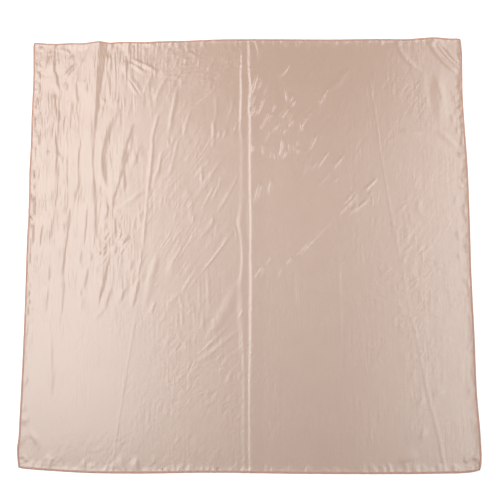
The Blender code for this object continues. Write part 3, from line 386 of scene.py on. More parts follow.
# Where they lie, a row for each area: which row above, the middle, the half width and half height
# over which they fade out, in centimetres, and how strong they are
CREASED_AREAS = (
    (0, -43.0, 22.0, 28.0, 62.0, 2.0), (0, -30.0, 10.0, 16.0, 40.0, 1.3),
    (0, -28.0, 40.0, 16.0, 20.0, 1.6), (0, 45.0, 30.0, 5.0, 26.0, 0.5), (1, -14.0, 14.0, 22.0, 50.0, 1.0),
    (1, 6.0, 26.0, 14.0, 24.0, 1.0), (2, -12.0, 41.0, 24.0, 14.0, 1.2), (2, 32.0, -8.0, 22.0, 40.0, 0.7),
    (2, -8.0, -24.0, 26.0, 24.0, 0.8), (2, 40.0, 36.0, 14.0, 18.0, 0.35),
    (2, -45.0, 40.0, 14.0, 10.0, 0.8))
LEAST_CREASED = 0.24


class ScarfSettings(bpy.types.PropertyGroup):
    """Colours of the scarf, sizes of its fine form, and the light over it."""

    satin_colour: FloatVectorProperty(
        name="Satin colour", description="Base colour of the satin",
        default=(0.394, 0.271, 0.208, 1.0), min=0.0, max=1.0, size=4, subtype="COLOR")
    thread_colour: FloatVectorProperty(
        name="Thread colour", description="Base colour of the overlock thread",
        default=(0.54, 0.315, 0.235, 1.0), min=0.0, max=1.0, size=4, subtype="COLOR")
    cloth_thickness: FloatProperty(
        name="Cloth thickness", description="Thickness of the satin sheet",
        default=0.4 * MM, min=0.1 * MM, max=2.0 * MM, unit="LENGTH")
    pucker_spacing: FloatProperty(
        name="Pucker spacing", description="Mean distance between the small gathers along a hem",
        default=8.5 * MM, min=3.0 * MM, max=40.0 * MM, unit="LENGTH")
    pucker_height: FloatProperty(
        name="Pucker height", description="Height of the tallest small gather at a hem",
        default=0.65 * MM, min=0.0, max=2.0 * MM, unit="LENGTH")
    billow_height: FloatProperty(
        name="Billow height", description="Height of the soft unevenness all over the cloth",
        default=0.22 * MM, min=0.0, max=3.0 * MM, unit="LENGTH")
    weave_pitch: FloatProperty(
        name="Weave pitch", description="Distance between neighbouring warp threads",
        default=0.32 * MM, min=0.1 * MM, max=2.0 * MM, unit="LENGTH")
    stitch_pitch: FloatProperty(
        name="Stitch pitch", description="Distance between neighbouring overlock stitches",
        default=1.5 * MM, min=0.8 * MM, max=6.0 * MM, unit="LENGTH")
    thread_thickness: FloatProperty(
        name="Thread thickness", description="Diameter of the overlock thread",
        default=0.50 * MM, min=0.1 * MM, max=1.5 * MM, unit="LENGTH")
    seed: IntProperty(
        name="Seed", description="Choice of the small gathers, crumples and stitch unevenness", default=7)
    light_strength: FloatProperty(
        name="Light strength", description="Brightness of the softboxes, 1 as photographed",
        default=1.0, min=0.0, max=10.0)


def settings():
    return bpy.context.scene.scarf_settings


# Cloth form

def smooth_line(places, values, along):
    """Smooth line through values at rising places, read at along."""
    slopes = np.gradient(values, places)
    along = np.clip(along, places[0], places[-1])
    cell = np.clip(np.searchsorted(places, along, side="right") - 1, 0, len(places) - 2)
    width = places[cell + 1] - places[cell]
    t = (along - places[cell]) / width
    start = (1.0 + 2.0 * t) * (1.0 - t) ** 2 * values[cell] + t * (1.0 - t) ** 2 * width * slopes[cell]
    end = t * t * (3.0 - 2.0 * t) * values[cell + 1] - t * t * (1.0 - t) * width * slopes[cell + 1]
    return start + end


def side_line(rows, along):
    """Place of a side at each value of along."""
    places, outs = np.array(sorted(rows)).T * CM
    return smooth_line(places, outs, along)


def fade(distance, reach):
    """One at distance 0, none from reach on, level at both."""
    t = np.clip(distance / reach, 0.0, 1.0)
    return (1.0 - t) ** 2 * (1.0 + 2.0 * t)


def long_fold_height(stations, x, y):
    """Height of a long fold that runs down the cloth."""
    places, *columns = (np.array(sorted(stations)) * STATION_UNITS).T
    at = Station(y, *(smooth_line(places, column, y) for column in columns))
    on_fold = (y >= places[0]) & (y <= places[-1])
    aside = x - at.x
    t = np.clip(aside / at.right, 0.0, 1.0)
    breaks = 2.0 * t * (1.0 - t) * (at.foot * t - at.crest * (1.0 - t))
    share = np.where(aside < 0.0, fade(-aside, at.left), fade(aside, at.right) + breaks)
    return np.where(on_fold, np.maximum(at.rise, 0.0) * share, 0.0)


def crease_height(crease, x, y):
    """Height of one crease at the plan points x, y."""
    start = np.array((crease.x1, crease.y1)) * CM
    run = np.array((crease.x2, crease.y2)) * CM - start
    length = np.hypot(*run)
    along = run / length
    from_x = x - start[0]
    from_y = y - start[1]
    t = np.clip((from_x * along[0] + from_y * along[1]) / length, 0.0, 1.0)
    swell = 4.0 * t * (1.0 - t)
    taper = CREASE_BLUNTNESS + (1.0 - CREASE_BLUNTNESS) * np.sqrt(swell)
    aside = from_y * along[0] - from_x * along[1] - crease.bow * CM * swell
    if crease.right < crease.left:
        aside = aside + 0.5 * crease.right * CM * taper
    elif crease.left < crease.right:
        aside = aside - 0.5 * crease.left * CM * taper
    reach = np.where(aside < 0.0, crease.left, crease.right) * CM * taper
    return crease.rise * MM * fade(1.0 - swell, 1.0) * fade(np.abs(aside), reach)


def patch_creases(rng):
    """Short crossed creases scattered over each patch."""
    for middle_x, middle_y, wide, high, count, tallest in PATCHES:
        for _ in range(count):
            x = middle_x + wide * rng.uniform(-0.5, 0.5)
            y = middle_y + high * rng.uniform(-0.5, 0.5)
            half = 0.5 * rng.uniform(0.5, 1.3)
            lean = rng.uniform(-0.5, 1.1)
            across = half * math.sin(lean)
            down = half * math.cos(lean)
            rise = tallest * rng.uniform(0.5, 1.3)
            bow = rng.uniform(-0.1, 0.1)
            yield Crease(x + across, y + down, x - across, y - down, rise,
                         rng.uniform(0.25, 0.5), rng.uniform(0.25, 0.4), bow)


def hem_puckers(rng, spacing, height):
    """Small gathers that stand in from each hem at uneven distances."""
    sides = ((TOP_SIDE, True, -1.0), (BOTTOM_SIDE, True, 1.0),
             (LEFT_SIDE, False, 1.0), (RIGHT_SIDE, False, -1.0))
    for side, level, inwards in sides:
        along = -PUCKER_REACH * CM
        while along < PUCKER_REACH * CM:
            out = float(side_line(side, np.array(along)))
            deep = rng.uniform(*PUCKER_DEPTH) * CM
            lean = rng.normal(0.0, 0.15) * deep
            rise = height * rng.uniform(0.15, 1.0) ** 1.5 / MM
            ends = [(along + lean, out + PUCKER_INWARDS * inwards * deep),
                    (along, out - PUCKER_OUTWARDS * inwards * deep)]
            if not level:
                ends = [(across, lengthways) for lengthways, across in ends]
            (x1, y1), (x2, y2) = sorted(ends, key=lambda end: -end[1])
            steep, gentle = rng.uniform(*PUCKER_STEEP), rng.uniform(*PUCKER_GENTLE)
            steep_right = along < 0.0 if level else (x2 > x1) == (along > 0.0)
            left, right = (gentle, steep) if steep_right else (steep, gentle)
            yield Crease(x1 / CM, y1 / CM, x2 / CM, y2 / CM, rise, left, right, rng.uniform(-0.1, 0.1))
            along += spacing * rng.uniform(0.35, 1.65)


def billow(rng, x, y, height):
    """Soft unevenness of cloth that was folded and pressed: a few long crossed waves."""
    total = np.zeros_like(x)
    for wave_length in BILLOW_WAVES:
        for _ in range(2):
            angle = rng.uniform(0.0, math.tau)
            phase = rng.uniform(0.0, math.tau)
            distance = x * math.cos(angle) + y * math.sin(angle)
            total += wave_length * np.sin(math.tau * distance / wave_length + phase)
    return height * (0.5 + 0.5 * total / np.abs(total).max())


def band_lines(bands, end, first, last):
    """Places of the sheet's lines one way: the cut edge, under the thread, and the bands between."""
    stops = [start for start, _ in bands[1:]] + [end]
    places = []
    for (start, step), stop in zip(bands, stops):
        steps = round((stop - start) / step)
        places.extend(start + (stop - start) * k / steps for k in range(steps))
    places = np.array(places + [end]) * CM
    return np.concatenate(([first, first + EDGE_REACH], places, [last - EDGE_REACH, last]))


def corner_pull(from_corner):
    """How far an edge is drawn in near a corner."""
    return CORNER_CUT * np.clip(1.0 - from_corner / CORNER_REACH, 0.0, 1.0) ** 2


def sheet_points():
    """Upper points of the cloth, [column, row, xyz]."""
    chosen = settings()
    first_x, last_x = PLAIN_LEFT + EDGE_COVER, PLAIN_RIGHT - EDGE_COVER
    first_y, last_y = PLAIN_BOTTOM + EDGE_COVER, PLAIN_TOP - EDGE_COVER
    columns = band_lines(COLUMN_BANDS, COLUMN_END, first_x, last_x)
    rows = band_lines(ROW_BANDS, ROW_END, first_y, last_y)
    plain_x, plain_y = np.meshgrid(columns, rows, indexing="ij")

    from_side_x = np.minimum(plain_x - first_x, last_x - plain_x)
    from_side_y = np.minimum(plain_y - first_y, last_y - plain_y)
    left = side_line(LEFT_SIDE, plain_y) + EDGE_COVER + corner_pull(from_side_y)
    right = side_line(RIGHT_SIDE, plain_y) - EDGE_COVER - corner_pull(from_side_y)
    bottom = side_line(BOTTOM_SIDE, plain_x) + EDGE_COVER + corner_pull(from_side_x)
    top = side_line(TOP_SIDE, plain_x) - EDGE_COVER - corner_pull(from_side_x)
    x = left + (right - left) * (plain_x - first_x) / (last_x - first_x)
    y = bottom + (top - bottom) * (plain_y - first_y) / (last_y - first_y)

    rng = np.random.default_rng(chosen.seed)
    height = billow(rng, x, y, chosen.billow_height)
    for stations in LONG_FOLDS:
        height += long_fold_height(stations, x, y)
    small = [*patch_creases(rng), *hem_puckers(rng, chosen.pucker_spacing, chosen.pucker_height)]
    for row in (*CREASES, *small):
        height += crease_height(Crease(*row), x, y)
    rim = THREAD_UNDER * fade(np.minimum(from_side_x, from_side_y), RIM_RAMP)
    z = np.maximum(height, 0.0) + rim + chosen.cloth_thickness
    return np.stack((x - PLAN_MIDDLE_X, y - PLAN_MIDDLE_Y, z), axis=-1)


def kept_lines(count):
    """Lines that the underside keeps: every few, and both outer ones."""
    return np.unique(np.append(np.arange(0, count - 1, UNDERSIDE_STRIDE), count - 1))


def lowest_near(z, lines, axis):
    """Lowest value over the stretch between each kept line's neighbours."""
    z = np.moveaxis(z, axis, 0)
    padded = [0, *lines, len(z) - 1]
    lowest = [z[padded[k]:padded[k + 2] + 1].min(axis=0) for k in range(len(lines))]
    return np.moveaxis(np.array(lowest), 0, axis)


def grid_triangles(index, z):
    """Two triangles for each cell of a grid, split along the diagonal that the surface bends least on."""
    a, b, c, d = index[:-1, :-1], index[1:, :-1], index[1:, 1:], index[:-1, 1:]
    rising = np.abs(z[:-1, :-1] - z[1:, 1:]) <= np.abs(z[1:, :-1] - z[:-1, 1:])
    triangles = np.stack((a, b, np.where(rising, c, d), np.where(rising, a, b), c, d), axis=-1)
    return triangles.reshape(-1, 3)


def rim_loop(columns, rows):
    """Steps round a grid's outer points, anticlockwise from above."""
    return [
        *((i, 0) for i in range(columns - 1)),
        *((columns - 1, j) for j in range(rows - 1)),
        *((i, rows - 1) for i in range(columns - 1, 0, -1)),
        *((0, j) for j in range(rows - 1, 0, -1))]


def sheet_mesh(points, thickness):
    """Closed thin shell over the upper points. Its underside keeps fewer lines."""
    columns, rows = points.shape[:2]
    upper = np.arange(columns * rows).reshape(columns, rows)
    kept_columns, kept_rows = kept_lines(columns), kept_lines(rows)
    under_z = lowest_near(lowest_near(points[..., 2], kept_columns, 0), kept_rows, 1) - thickness
    under = points[np.ix_(kept_columns, kept_rows)].copy()
    under[..., 2] = np.maximum(under_z, 0.0)
    inner = under[1:-1, 1:-1]

    loop = rim_loop(columns, rows)
    lower_rim = np.array([points[i, j] for i, j in loop])
    lower_rim[:, 2] -= thickness
    first_rim = columns * rows
    first_inner = first_rim + len(loop)
    rim_at = {place: first_rim + k for k, place in enumerate(loop)}
    vertices = np.concatenate((points.reshape(-1, 3), lower_rim, inner.reshape(-1, 3)))

    faces = grid_triangles(upper, points[..., 2]).tolist()
    inner_index = first_inner + np.arange(inner.shape[0] * inner.shape[1]).reshape(inner.shape[:2])
    faces += grid_triangles(inner_index, inner[..., 2])[:, ::-1].tolist()
    for k, (i, j) in enumerate(loop):
        following = loop[(k + 1) % len(loop)]
        faces.append((rim_at[i, j], rim_at[following], int(upper[following]), int(upper[i, j])))
    faces += border_faces(kept_columns, kept_rows, rim_at, inner_index)

    mesh = bpy.data.meshes.new(SHEET_NAME)
    mesh.from_pydata(vertices.tolist(), [], faces)
    mesh.validate()
    return mesh


def border_faces(kept_columns, kept_rows, rim_at, inner_index):
    """Underside cells between the rim, which has every point, and the first kept line in from it."""
    last_c, last_r = len(kept_columns) - 1, len(kept_rows) - 1

    def inner(a, b):
        return int(inner_index[min(max(a, 1), last_c - 1) - 1, min(max(b, 1), last_r - 1) - 1])

    faces = []
    for a in range(last_c):
        span = range(kept_columns[a], kept_columns[a + 1] + 1)
        for row, b in ((0, 0), (kept_rows[-1], last_r)):
            outer = [rim_at[i, row] for i in span]
            face = outer + [inner(a + 1, b), inner(a, b)]
            faces.append(face if b else face[::-1])
    for b in range(last_r):
        span = range(kept_rows[b], kept_rows[b + 1] + 1)
        for column, a in ((0, 0), (kept_columns[-1], last_c)):
            outer = [rim_at[column, j] for j in span]
            face = outer + [inner(a, b + 1), inner(a, b)]
            faces.append(face[::-1] if a else face)
    return [list(dict.fromkeys(face)) for face in faces]


# Finish

def add_group(name, kind, inputs, outputs):
    """New node group, the sockets that bring in its inputs, and those that take its outputs."""
    group = bpy.data.node_groups.new(name, kind)
    for in_out, sockets in (("INPUT", inputs), ("OUTPUT", outputs)):
        for title, holds in sockets.items():
            group.interface.new_socket(title, in_out=in_out, socket_type="NodeSocket" + holds)
    return group, group.nodes.new("NodeGroupInput").outputs, group.nodes.new("NodeGroupOutput").inputs


def set_inputs(tree, node, values):
    """Gives a node's inputs a value, or links them to a socket."""
    for name, value in values.items():
        if isinstance(value, bpy.types.NodeSocket):
            tree.links.new(value, node.inputs[name])
        else:
            node.inputs[name].default_value = value


def place_node(tree, kind, values=None, **options):
    """New node with its options and inputs set."""
    node = tree.nodes.new(kind)
    for name, option in options.items():
        setattr(node, name, option)
    set_inputs(tree, node, values or {})
    return node


def maths(tree, operation, *values):
    """Result of a maths node."""
    return place_node(tree, "ShaderNodeMath", dict(enumerate(values)), operation=operation).outputs["Value"]


def place_shared(tree, name, maker, values):
    """New node of a group that several materials share, made when it is first needed."""
    shared = bpy.data.node_groups.get(name) or maker(name)
    return place_node(tree, "ShaderNodeGroup", values, node_tree=shared)


def new_material(name):
    """New material, its node tree and its shader."""
    material = bpy.data.materials.new(name)
    material.use_nodes = True
    return material, material.node_tree, material.node_tree.nodes["Principled BSDF"]


def weave_group(name):
    """Height of satin's fine warp threads, whose long floats end in short steps out of line."""
    group, given, result = add_group(
        name, "ShaderNodeTree", {"Vector": "Vector", "Pitch": "Float"}, {"Height": "Float"})
    pitch = place_node(group, "ShaderNodeCombineXYZ", {axis: given["Pitch"] for axis in "XYZ"})
    across = place_node(group, "ShaderNodeVectorMath", {
        0: given["Vector"], 1: pitch.outputs["Vector"]}, operation="DIVIDE")
    threads = place_node(group, "ShaderNodeTexWave", {
        "Vector": across.outputs["Vector"], "Scale": 0.314, "Distortion": 0.6, "Detail": 1.0,
        "Detail Scale": 0.2}, bands_direction="X")
    turned = place_node(group, "ShaderNodeVectorRotate", {
        "Vector": across.outputs["Vector"], "Angle": math.pi / 2}, rotation_type="Z_AXIS")
    floats = place_node(group, "ShaderNodeTexBrick", {
        "Vector": turned.outputs["Vector"], "Scale": 1.0, "Mortar Size": 0.12, "Mortar Smooth": 1.0,
        "Brick Width": 5.0, "Row Height": 1.0})
    height = maths(group, "SUBTRACT", threads.outputs["Fac"], floats.outputs["Fac"])
    group.links.new(height, result["Height"])
    return group


def crinkle_group(name):
    """Height of fine drawn-out crinkles that run at an angle to the cloth, stronger where the mask is."""
    group, given, result = add_group(name, "ShaderNodeTree", {
        "Vector": "Vector", "Angle": "Float", "Scale": "Float", "Width": "Float", "Mask": "Float"},
        {"Height": "Float"})
    turned = place_node(group, "ShaderNodeVectorRotate", {
        "Vector": given["Vector"], "Angle": given["Angle"]}, rotation_type="Z_AXIS")
    shape = place_node(group, "ShaderNodeCombineXYZ", {"X": 1.0, "Y": given["Width"], "Z": 1.0})
    drawn = place_node(group, "ShaderNodeVectorMath", {
        0: turned.outputs["Vector"], 1: shape.outputs["Vector"]}, operation="MULTIPLY")
    streaks = place_node(group, "ShaderNodeTexNoise", {
        "Vector": drawn.outputs["Vector"], "Scale": given["Scale"], "Detail": 1.5,
        "Roughness": 0.5, "Distortion": 0.4})
    folds = place_node(group, "ShaderNodeTexNoise", {
        "Vector": drawn.outputs["Vector"], "Scale": maths(group, "MULTIPLY", given["Scale"], 0.45),
        "Detail": 0.0, "Distortion": 0.5})
    ridges = maths(group, "ABSOLUTE", maths(group, "SUBTRACT", folds.outputs["Fac"], 0.5))
    both = maths(group, "MULTIPLY_ADD", ridges, -2.0, streaks.outputs["Fac"])
    calm = place_node(group, "ShaderNodeTexNoise", {
        "Vector": given["Vector"], "Scale": 16.0, "Detail": 1.0})
    busy = place_node(group, "ShaderNodeMapRange", {
        "Value": calm.outputs["Fac"], "From Min": 0.38, "From Max": 0.62, "To Min": 0.35, "To Max": 1.1},
        interpolation_type="SMOOTHSTEP")
    share = maths(group, "MULTIPLY", busy.outputs["Result"], given["Mask"])
    group.links.new(maths(group, "MULTIPLY", both, share), result["Height"])
    return group


def mottle_group(name):
    """Base colour that varies softly about the given one."""
    group, given, result = add_group(name, "ShaderNodeTree", {
        "Vector": "Vector", "Colour": "Color", "Scale": "Float", "Amount": "Float"}, {"Colour": "Color"})
    noise = place_node(group, "ShaderNodeTexNoise", {
        "Vector": given["Vector"], "Scale": given["Scale"], "Detail": 2.0})
    offset = maths(group, "SUBTRACT", noise.outputs["Fac"], 0.5)
    varied = place_node(group, "ShaderNodeHueSaturation", {
        "Color": given["Colour"], "Value": maths(group, "MULTIPLY_ADD", offset, given["Amount"], 1.0)})
    group.links.new(varied.outputs["Color"], result["Colour"])
    return group


def bump(tree, height, distance, strength=1.0, under=None):
    """Normal of a height in units of distance, over the normal of what lies under it."""
    values = {"Height": height, "Distance": distance, "Strength": strength}
    if under is not None:
        values["Normal"] = under
    return place_node(tree, "ShaderNodeBump", values).outputs["Normal"]


WEAVE_HEIGHT = 0.004 * MM
PLY_HEIGHT = 0.05 * MM


def satin_material():
    """Champagne satin: smooth long threads with a broad soft shine."""
    material, tree, shader = new_material("champagne_satin")
    place = place_node(tree, "ShaderNodeTexCoord").outputs["Object"]
    creased = place_node(tree, "ShaderNodeAttribute", attribute_name="creased").outputs["Vector"]
    creased = place_node(tree, "ShaderNodeSeparateXYZ", {"Vector": creased})
    colour = place_shared(tree, "thread_mottle", mottle_group, {
        "Vector": place, "Colour": settings().satin_colour, "Scale": 24.0, "Amount": 0.05})
    normal = None
    for (angle, scale, width, height), axis in zip(CRINKLES, "XYZ"):
        crinkle = place_shared(tree, "satin_crinkle", crinkle_group, {
            "Vector": place, "Angle": math.radians(angle), "Scale": scale, "Width": width,
            "Mask": creased.outputs[axis]})
        normal = bump(tree, crinkle.outputs["Height"], height * MM, under=normal)
    weave = place_shared(tree, "satin_weave", weave_group, {
        "Vector": place, "Pitch": settings().weave_pitch})
    set_inputs(tree, shader, {
        "Base Color": colour.outputs["Colour"], "Roughness": 0.25, "Specular IOR Level": 0.7,
        "Sheen Weight": 0.04, "Sheen Roughness": 0.4,
        "Normal": bump(tree, weave.outputs["Height"], WEAVE_HEIGHT, under=normal)})
    return material


def thread_material():
    """Terracotta overlock thread: two plies twisted, its colour finely mottled."""
    material, tree, shader = new_material("overlock_thread")
    place = place_node(tree, "ShaderNodeTexCoord").outputs["Object"]
    strand = place_node(tree, "ShaderNodeUVMap", uv_map="strand").outputs["UV"]
    colour = place_shared(tree, "thread_mottle", mottle_group, {
        "Vector": place, "Colour": settings().thread_colour, "Scale": 500.0, "Amount": 0.3})
    plies = place_node(tree, "ShaderNodeTexWave", {"Vector": strand, "Scale": 1.2, "Distortion": 0.4},
                       bands_direction="DIAGONAL")
    set_inputs(tree, shader, {
        "Base Color": colour.outputs["Colour"], "Roughness": 0.4, "Specular IOR Level": 0.7,
        "Normal": bump(tree, plies.outputs["Fac"], PLY_HEIGHT, 0.7)})
    return material


# Pieces

def add_object(name, mesh):
    piece = bpy.data.objects.new(name, mesh)
    bpy.context.scene.collection.objects.link(piece)
    return piece


def creased_shares(points):
    """How finely creased the cloth is at each point for each kind of crinkle: the most of any area."""
    shares = np.full((*points.shape[:2], len(CRINKLES)), LEAST_CREASED)
    for kind, x, y, wide, high, most in CREASED_AREAS:
        across = (points[..., 0] / CM - x) / wide
        down = (points[..., 1] / CM - y) / high
        shares[..., kind] = np.maximum(shares[..., kind], most * fade(np.hypot(across, down), 1.0))
    return shares


def stand_for(piece, node):
    """Puts a piece on the scarf's one body in place of a solid, and hides that solid."""
    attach(piece, "root")
    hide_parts(node)
    return piece


def build_sheet(points):
    """The satin sheet, in place of the panel's solid."""
    mesh = sheet_mesh(points, settings().cloth_thickness)
    mesh.shade_smooth()
    mask = mesh.attributes.new("creased", "FLOAT_VECTOR", "POINT")
    values = np.full((len(mesh.vertices), len(CRINKLES)), LEAST_CREASED, np.float32)
    values[:points[..., 0].size] = creased_shares(points).reshape(-1, len(CRINKLES))
    mask.data.foreach_set("vector", values.ravel())
    mesh.materials.append(satin_material())
    return stand_for(add_object(SHEET_NAME, mesh), "satin_panel")


# The thread band's section, a row for each corner: how far in from the cut edge, and how far above
# the cloth's upper face there, in millimetres
BAND_SECTION = (
    (3.30, 0.02), (2.90, 0.16), (1.20, 0.22), (0.10, 0.20), (-0.18, 0.02), (-0.22, -0.20), (-0.10, -0.52),
    (1.40, -0.60), (3.10, -0.56), (3.30, -0.42))

# The path of the looper threads over, round and under the cut edge in one stitch, a row for each
# point: along the edge as a share of the pitch, and out from the cut and up in millimetres
LOOPER_PATH = (
    (0.00, -3.40, 0.06), (0.10, -3.05, 0.32), (0.32, -1.60, 0.42), (0.48, -0.35, 0.40),
    (0.54, 0.18, 0.26), (0.56, 0.34, -0.10), (0.58, 0.16, -0.44), (0.66, -0.50, -0.58),
    (0.84, -1.90, -0.58), (1.00, -3.20, -0.56))
RETURN_PATH = (
    (0.50, 0.20, 0.16), (0.60, -0.50, 0.36), (0.80, -1.90, 0.40), (0.96, -3.10, 0.30), (1.04, -3.40, 0.06))
NEEDLE_PATH = (
    (0.02, -3.30, 0.10), (0.25, -3.32, 0.44), (0.75, -3.32, 0.44), (0.98, -3.30, 0.10))
THREAD_SIDES = 6
STITCH_UNEVENNESS = 0.14    # how much shorter the shortest stitch is, as a share


def tube_rings(path, radius, pitch):
    """Rings of points round a path."""
    centres = np.array(path) * (pitch, MM, MM)
    runs = np.gradient(centres, axis=0)
    runs /= np.linalg.norm(runs, axis=1)[:, None]
    side = np.cross(runs, (0.35, 0.2, 0.9))
    side /= np.linalg.norm(side, axis=1)[:, None]
    other = np.cross(runs, side)
    turns = np.arange(THREAD_SIDES) * math.tau / THREAD_SIDES
    return centres[:, None] + radius * (np.cos(turns)[:, None] * side[:, None]
                                        + np.sin(turns)[:, None] * other[:, None])


def add_rings(vertices, faces, strands, rings):
    """Adds a closed skin over rings of points, with its place along and round as strand coordinates."""
    first = len(vertices)
    count, sides = rings.shape[:2]
    vertices.extend(rings.reshape(-1, 3).tolist())
    for k in range(count - 1):
        for m in range(sides):
            corners = ((k, m), (k, m + 1), (k + 1, m + 1), (k + 1, m))
            faces.append([first + ring * sides + turn % sides for ring, turn in corners])
            strands.extend(corners)
    for ring, flip in ((0, True), (count - 1, False)):
        cap = [first + ring * sides + m for m in range(sides)]
        faces.append(cap[::-1] if flip else cap)
        strands.extend([(ring, 0.0)] * sides)


def strand_mesh(name, ring_sets):
    """Mesh of closed skins over several sets of rings."""
    vertices, faces, strands = [], [], []
    for rings in ring_sets:
        add_rings(vertices, faces, strands, rings)
    mesh = bpy.data.meshes.new(name)
    mesh.from_pydata(vertices, [], faces)
    layer = mesh.uv_layers.new(name="strand")
    layer.data.foreach_set("uv", np.array(strands, np.float32).ravel())
    mesh.shade_smooth()
    return mesh


def stitch_mesh():
    """The threads of one overlock stitch, along X, with the cut edge at the origin and outwards +Y."""
    chosen = settings()
    return strand_mesh("overlock_stitch", [
        tube_rings(path, 0.5 * chosen.thread_thickness, chosen.stitch_pitch)
        for path in (LOOPER_PATH, RETURN_PATH, NEEDLE_PATH)])


def band_mesh(cut, inner, outward):
    """Solid run of thread under the stitches, worked out from the cloth's own edge points."""
    outward = np.array((*outward, 0.0))
    slope = (inner - cut) / np.linalg.norm((inner - cut)[:, :2], axis=1)[:, None]
    rings = []
    for inward, above in BAND_SECTION:
        along_cloth = slope * inward * MM if inward > 0.0 else -outward * inward * MM
        rings.append(cut + along_cloth + np.array((0.0, 0.0, above * MM)))
    return strand_mesh("overlock_band", [np.stack(rings, axis=1)])


def stitching_group():
    """Geometry nodes that sew stitches along a line of edge points and join them to the band."""
    group, given, result = add_group("overlock_stitches", "GeometryNodeTree", {
        "Edge": "Geometry", "Stitch": "Object", "Band": "Object", "Pitch": "Float", "Unevenness": "Float",
        "Seed": "Int", "Thread": "Material"}, {"Geometry": "Geometry"})
    line = place_node(group, "GeometryNodeMeshToCurve", {"Mesh": given["Edge"]})
    points = place_node(group, "GeometryNodeResampleCurve", {
        "Curve": line.outputs["Curve"], "Length": given["Pitch"]}, mode="LENGTH")
    tangent = place_node(group, "GeometryNodeInputTangent")
    along = place_node(group, "FunctionNodeAlignRotationToVector", {
        "Vector": tangent.outputs["Tangent"]}, axis="X", pivot_axis="AUTO")
    upright = place_node(group, "FunctionNodeAlignRotationToVector", {
        "Rotation": along.outputs["Rotation"], "Vector": (0.0, 0.0, 1.0)}, axis="Z", pivot_axis="X")
    least = maths(group, "SUBTRACT", 1.0, given["Unevenness"])
    depth = place_node(group, "FunctionNodeRandomValue", {
        2: least, 3: 1.0, "Seed": given["Seed"]}, data_type="FLOAT")
    size = place_node(group, "ShaderNodeCombineXYZ", {"X": 1.0, "Y": depth.outputs[1], "Z": 1.0})
    stitch = place_node(group, "GeometryNodeObjectInfo", {"Object": given["Stitch"]})
    band = place_node(group, "GeometryNodeObjectInfo", {"Object": given["Band"]})
    sewn = place_node(group, "GeometryNodeInstanceOnPoints", {
        "Points": points.outputs["Curve"], "Instance": stitch.outputs["Geometry"],
        "Rotation": upright.outputs["Rotation"], "Scale": size.outputs["Vector"]})
    realized = place_node(group, "GeometryNodeRealizeInstances", {"Geometry": sewn.outputs["Instances"]})
    joined = place_node(group, "GeometryNodeJoinGeometry", {"Geometry": realized.outputs["Geometry"]})
    group.links.new(band.outputs["Geometry"], joined.inputs["Geometry"])
    coloured = place_node(group, "GeometryNodeSetMaterial", {
        "Geometry": joined.outputs["Geometry"], "Material": given["Thread"]})
    group.links.new(coloured.outputs["Geometry"], result["Geometry"])
    return group


def build_edge(side, cut, inner, outward, stitch, group, thread):
    """One side's overlock: a band and its stitches, in place of that side's solid."""
    band = add_object("band_" + side, band_mesh(cut, inner, outward))
    line = bpy.data.meshes.new("edge_line")
    line.from_pydata(cut.tolist(), [(k, k + 1) for k in range(len(cut) - 1)], [])
    sewn = add_object("line_" + side, line)
    modifier = sewn.modifiers.new("Stitches", "NODES")
    modifier.node_group = group
    chosen = settings()
    given = {"Stitch": stitch, "Band": band, "Pitch": chosen.stitch_pitch, "Seed": chosen.seed,
             "Unevenness": STITCH_UNEVENNESS, "Thread": thread}
    for item in group.interface.items_tree:
        if item.in_out == "INPUT" and item.name in given:
            modifier[item.identifier] = given[item.name]
    bpy.context.view_layer.update()
    depsgraph = bpy.context.evaluated_depsgraph_get()
    mesh = bpy.data.meshes.new_from_object(sewn.evaluated_get(depsgraph))
    for helper in (sewn, band):
        bpy.data.objects.remove(helper)
    return stand_for(add_object("edge_thread_" + side, mesh), "serged_edge_" + side)


def build_edges(points):
    """The overlock of all four sides, each run clockwise from above so that outwards is to its left."""
    stitch = add_object("overlock_stitch", stitch_mesh())
    group = stitching_group()
    thread = thread_material()
    sides = (
        ("top", points[:, -1], points[:, -2], (0.0, 1.0)),
        ("right", points[-1, ::-1], points[-2, ::-1], (1.0, 0.0)),
        ("bottom", points[::-1, 0], points[::-1, 1], (0.0, -1.0)),
        ("left", points[0], points[1], (-1.0, 0.0)))
    pieces = [build_edge(side, cut, inner, outward, stitch, group, thread)
              for side, cut, inner, outward in sides]
    bpy.data.objects.remove(stitch)
    return pieces


# Stage

# Softboxes level above the scarf, a row each: its name, extent in plan in metres, and brightness
SOFTBOXES = (
    ("far_left_softbox", -2.15, -1.25, -0.24, 1.50, 3.3),
    ("left_softbox", -1.25, -0.35, -0.24, 1.50, 7.35), ("left_spill", -0.35, 0.10, -0.40, 0.98, 2.85),
    ("right_softbox", 0.70, 1.20, -0.38, 1.42, 7.55), ("upper_right", 0.86, 1.30, 1.42, 1.95, 7.0),
    ("right_spill", 0.30, 0.70, -0.38, 0.96, 2.65))
SOFTBOX_HEIGHT = 2.0
WORLD_RADIANCE = 0.08
WHITE = (1.0, 1.0, 1.0, 1.0)
PAPER_COLOUR = (0.95, 0.95, 0.95, 1.0)
FLOOR_SIZE = 12.0
FLOOR_GLOW = 0.12           # keeps the paper white where the light falls off

CAMERA_ELEVATION = math.radians(75.0)
CAMERA_DISTANCE = 2.848
CAMERA_ROLL = math.radians(-0.19)
CAMERA_TARGET = Vector((0.00279, -0.00610, 0.0))
CAMERA_LENS = 101.07


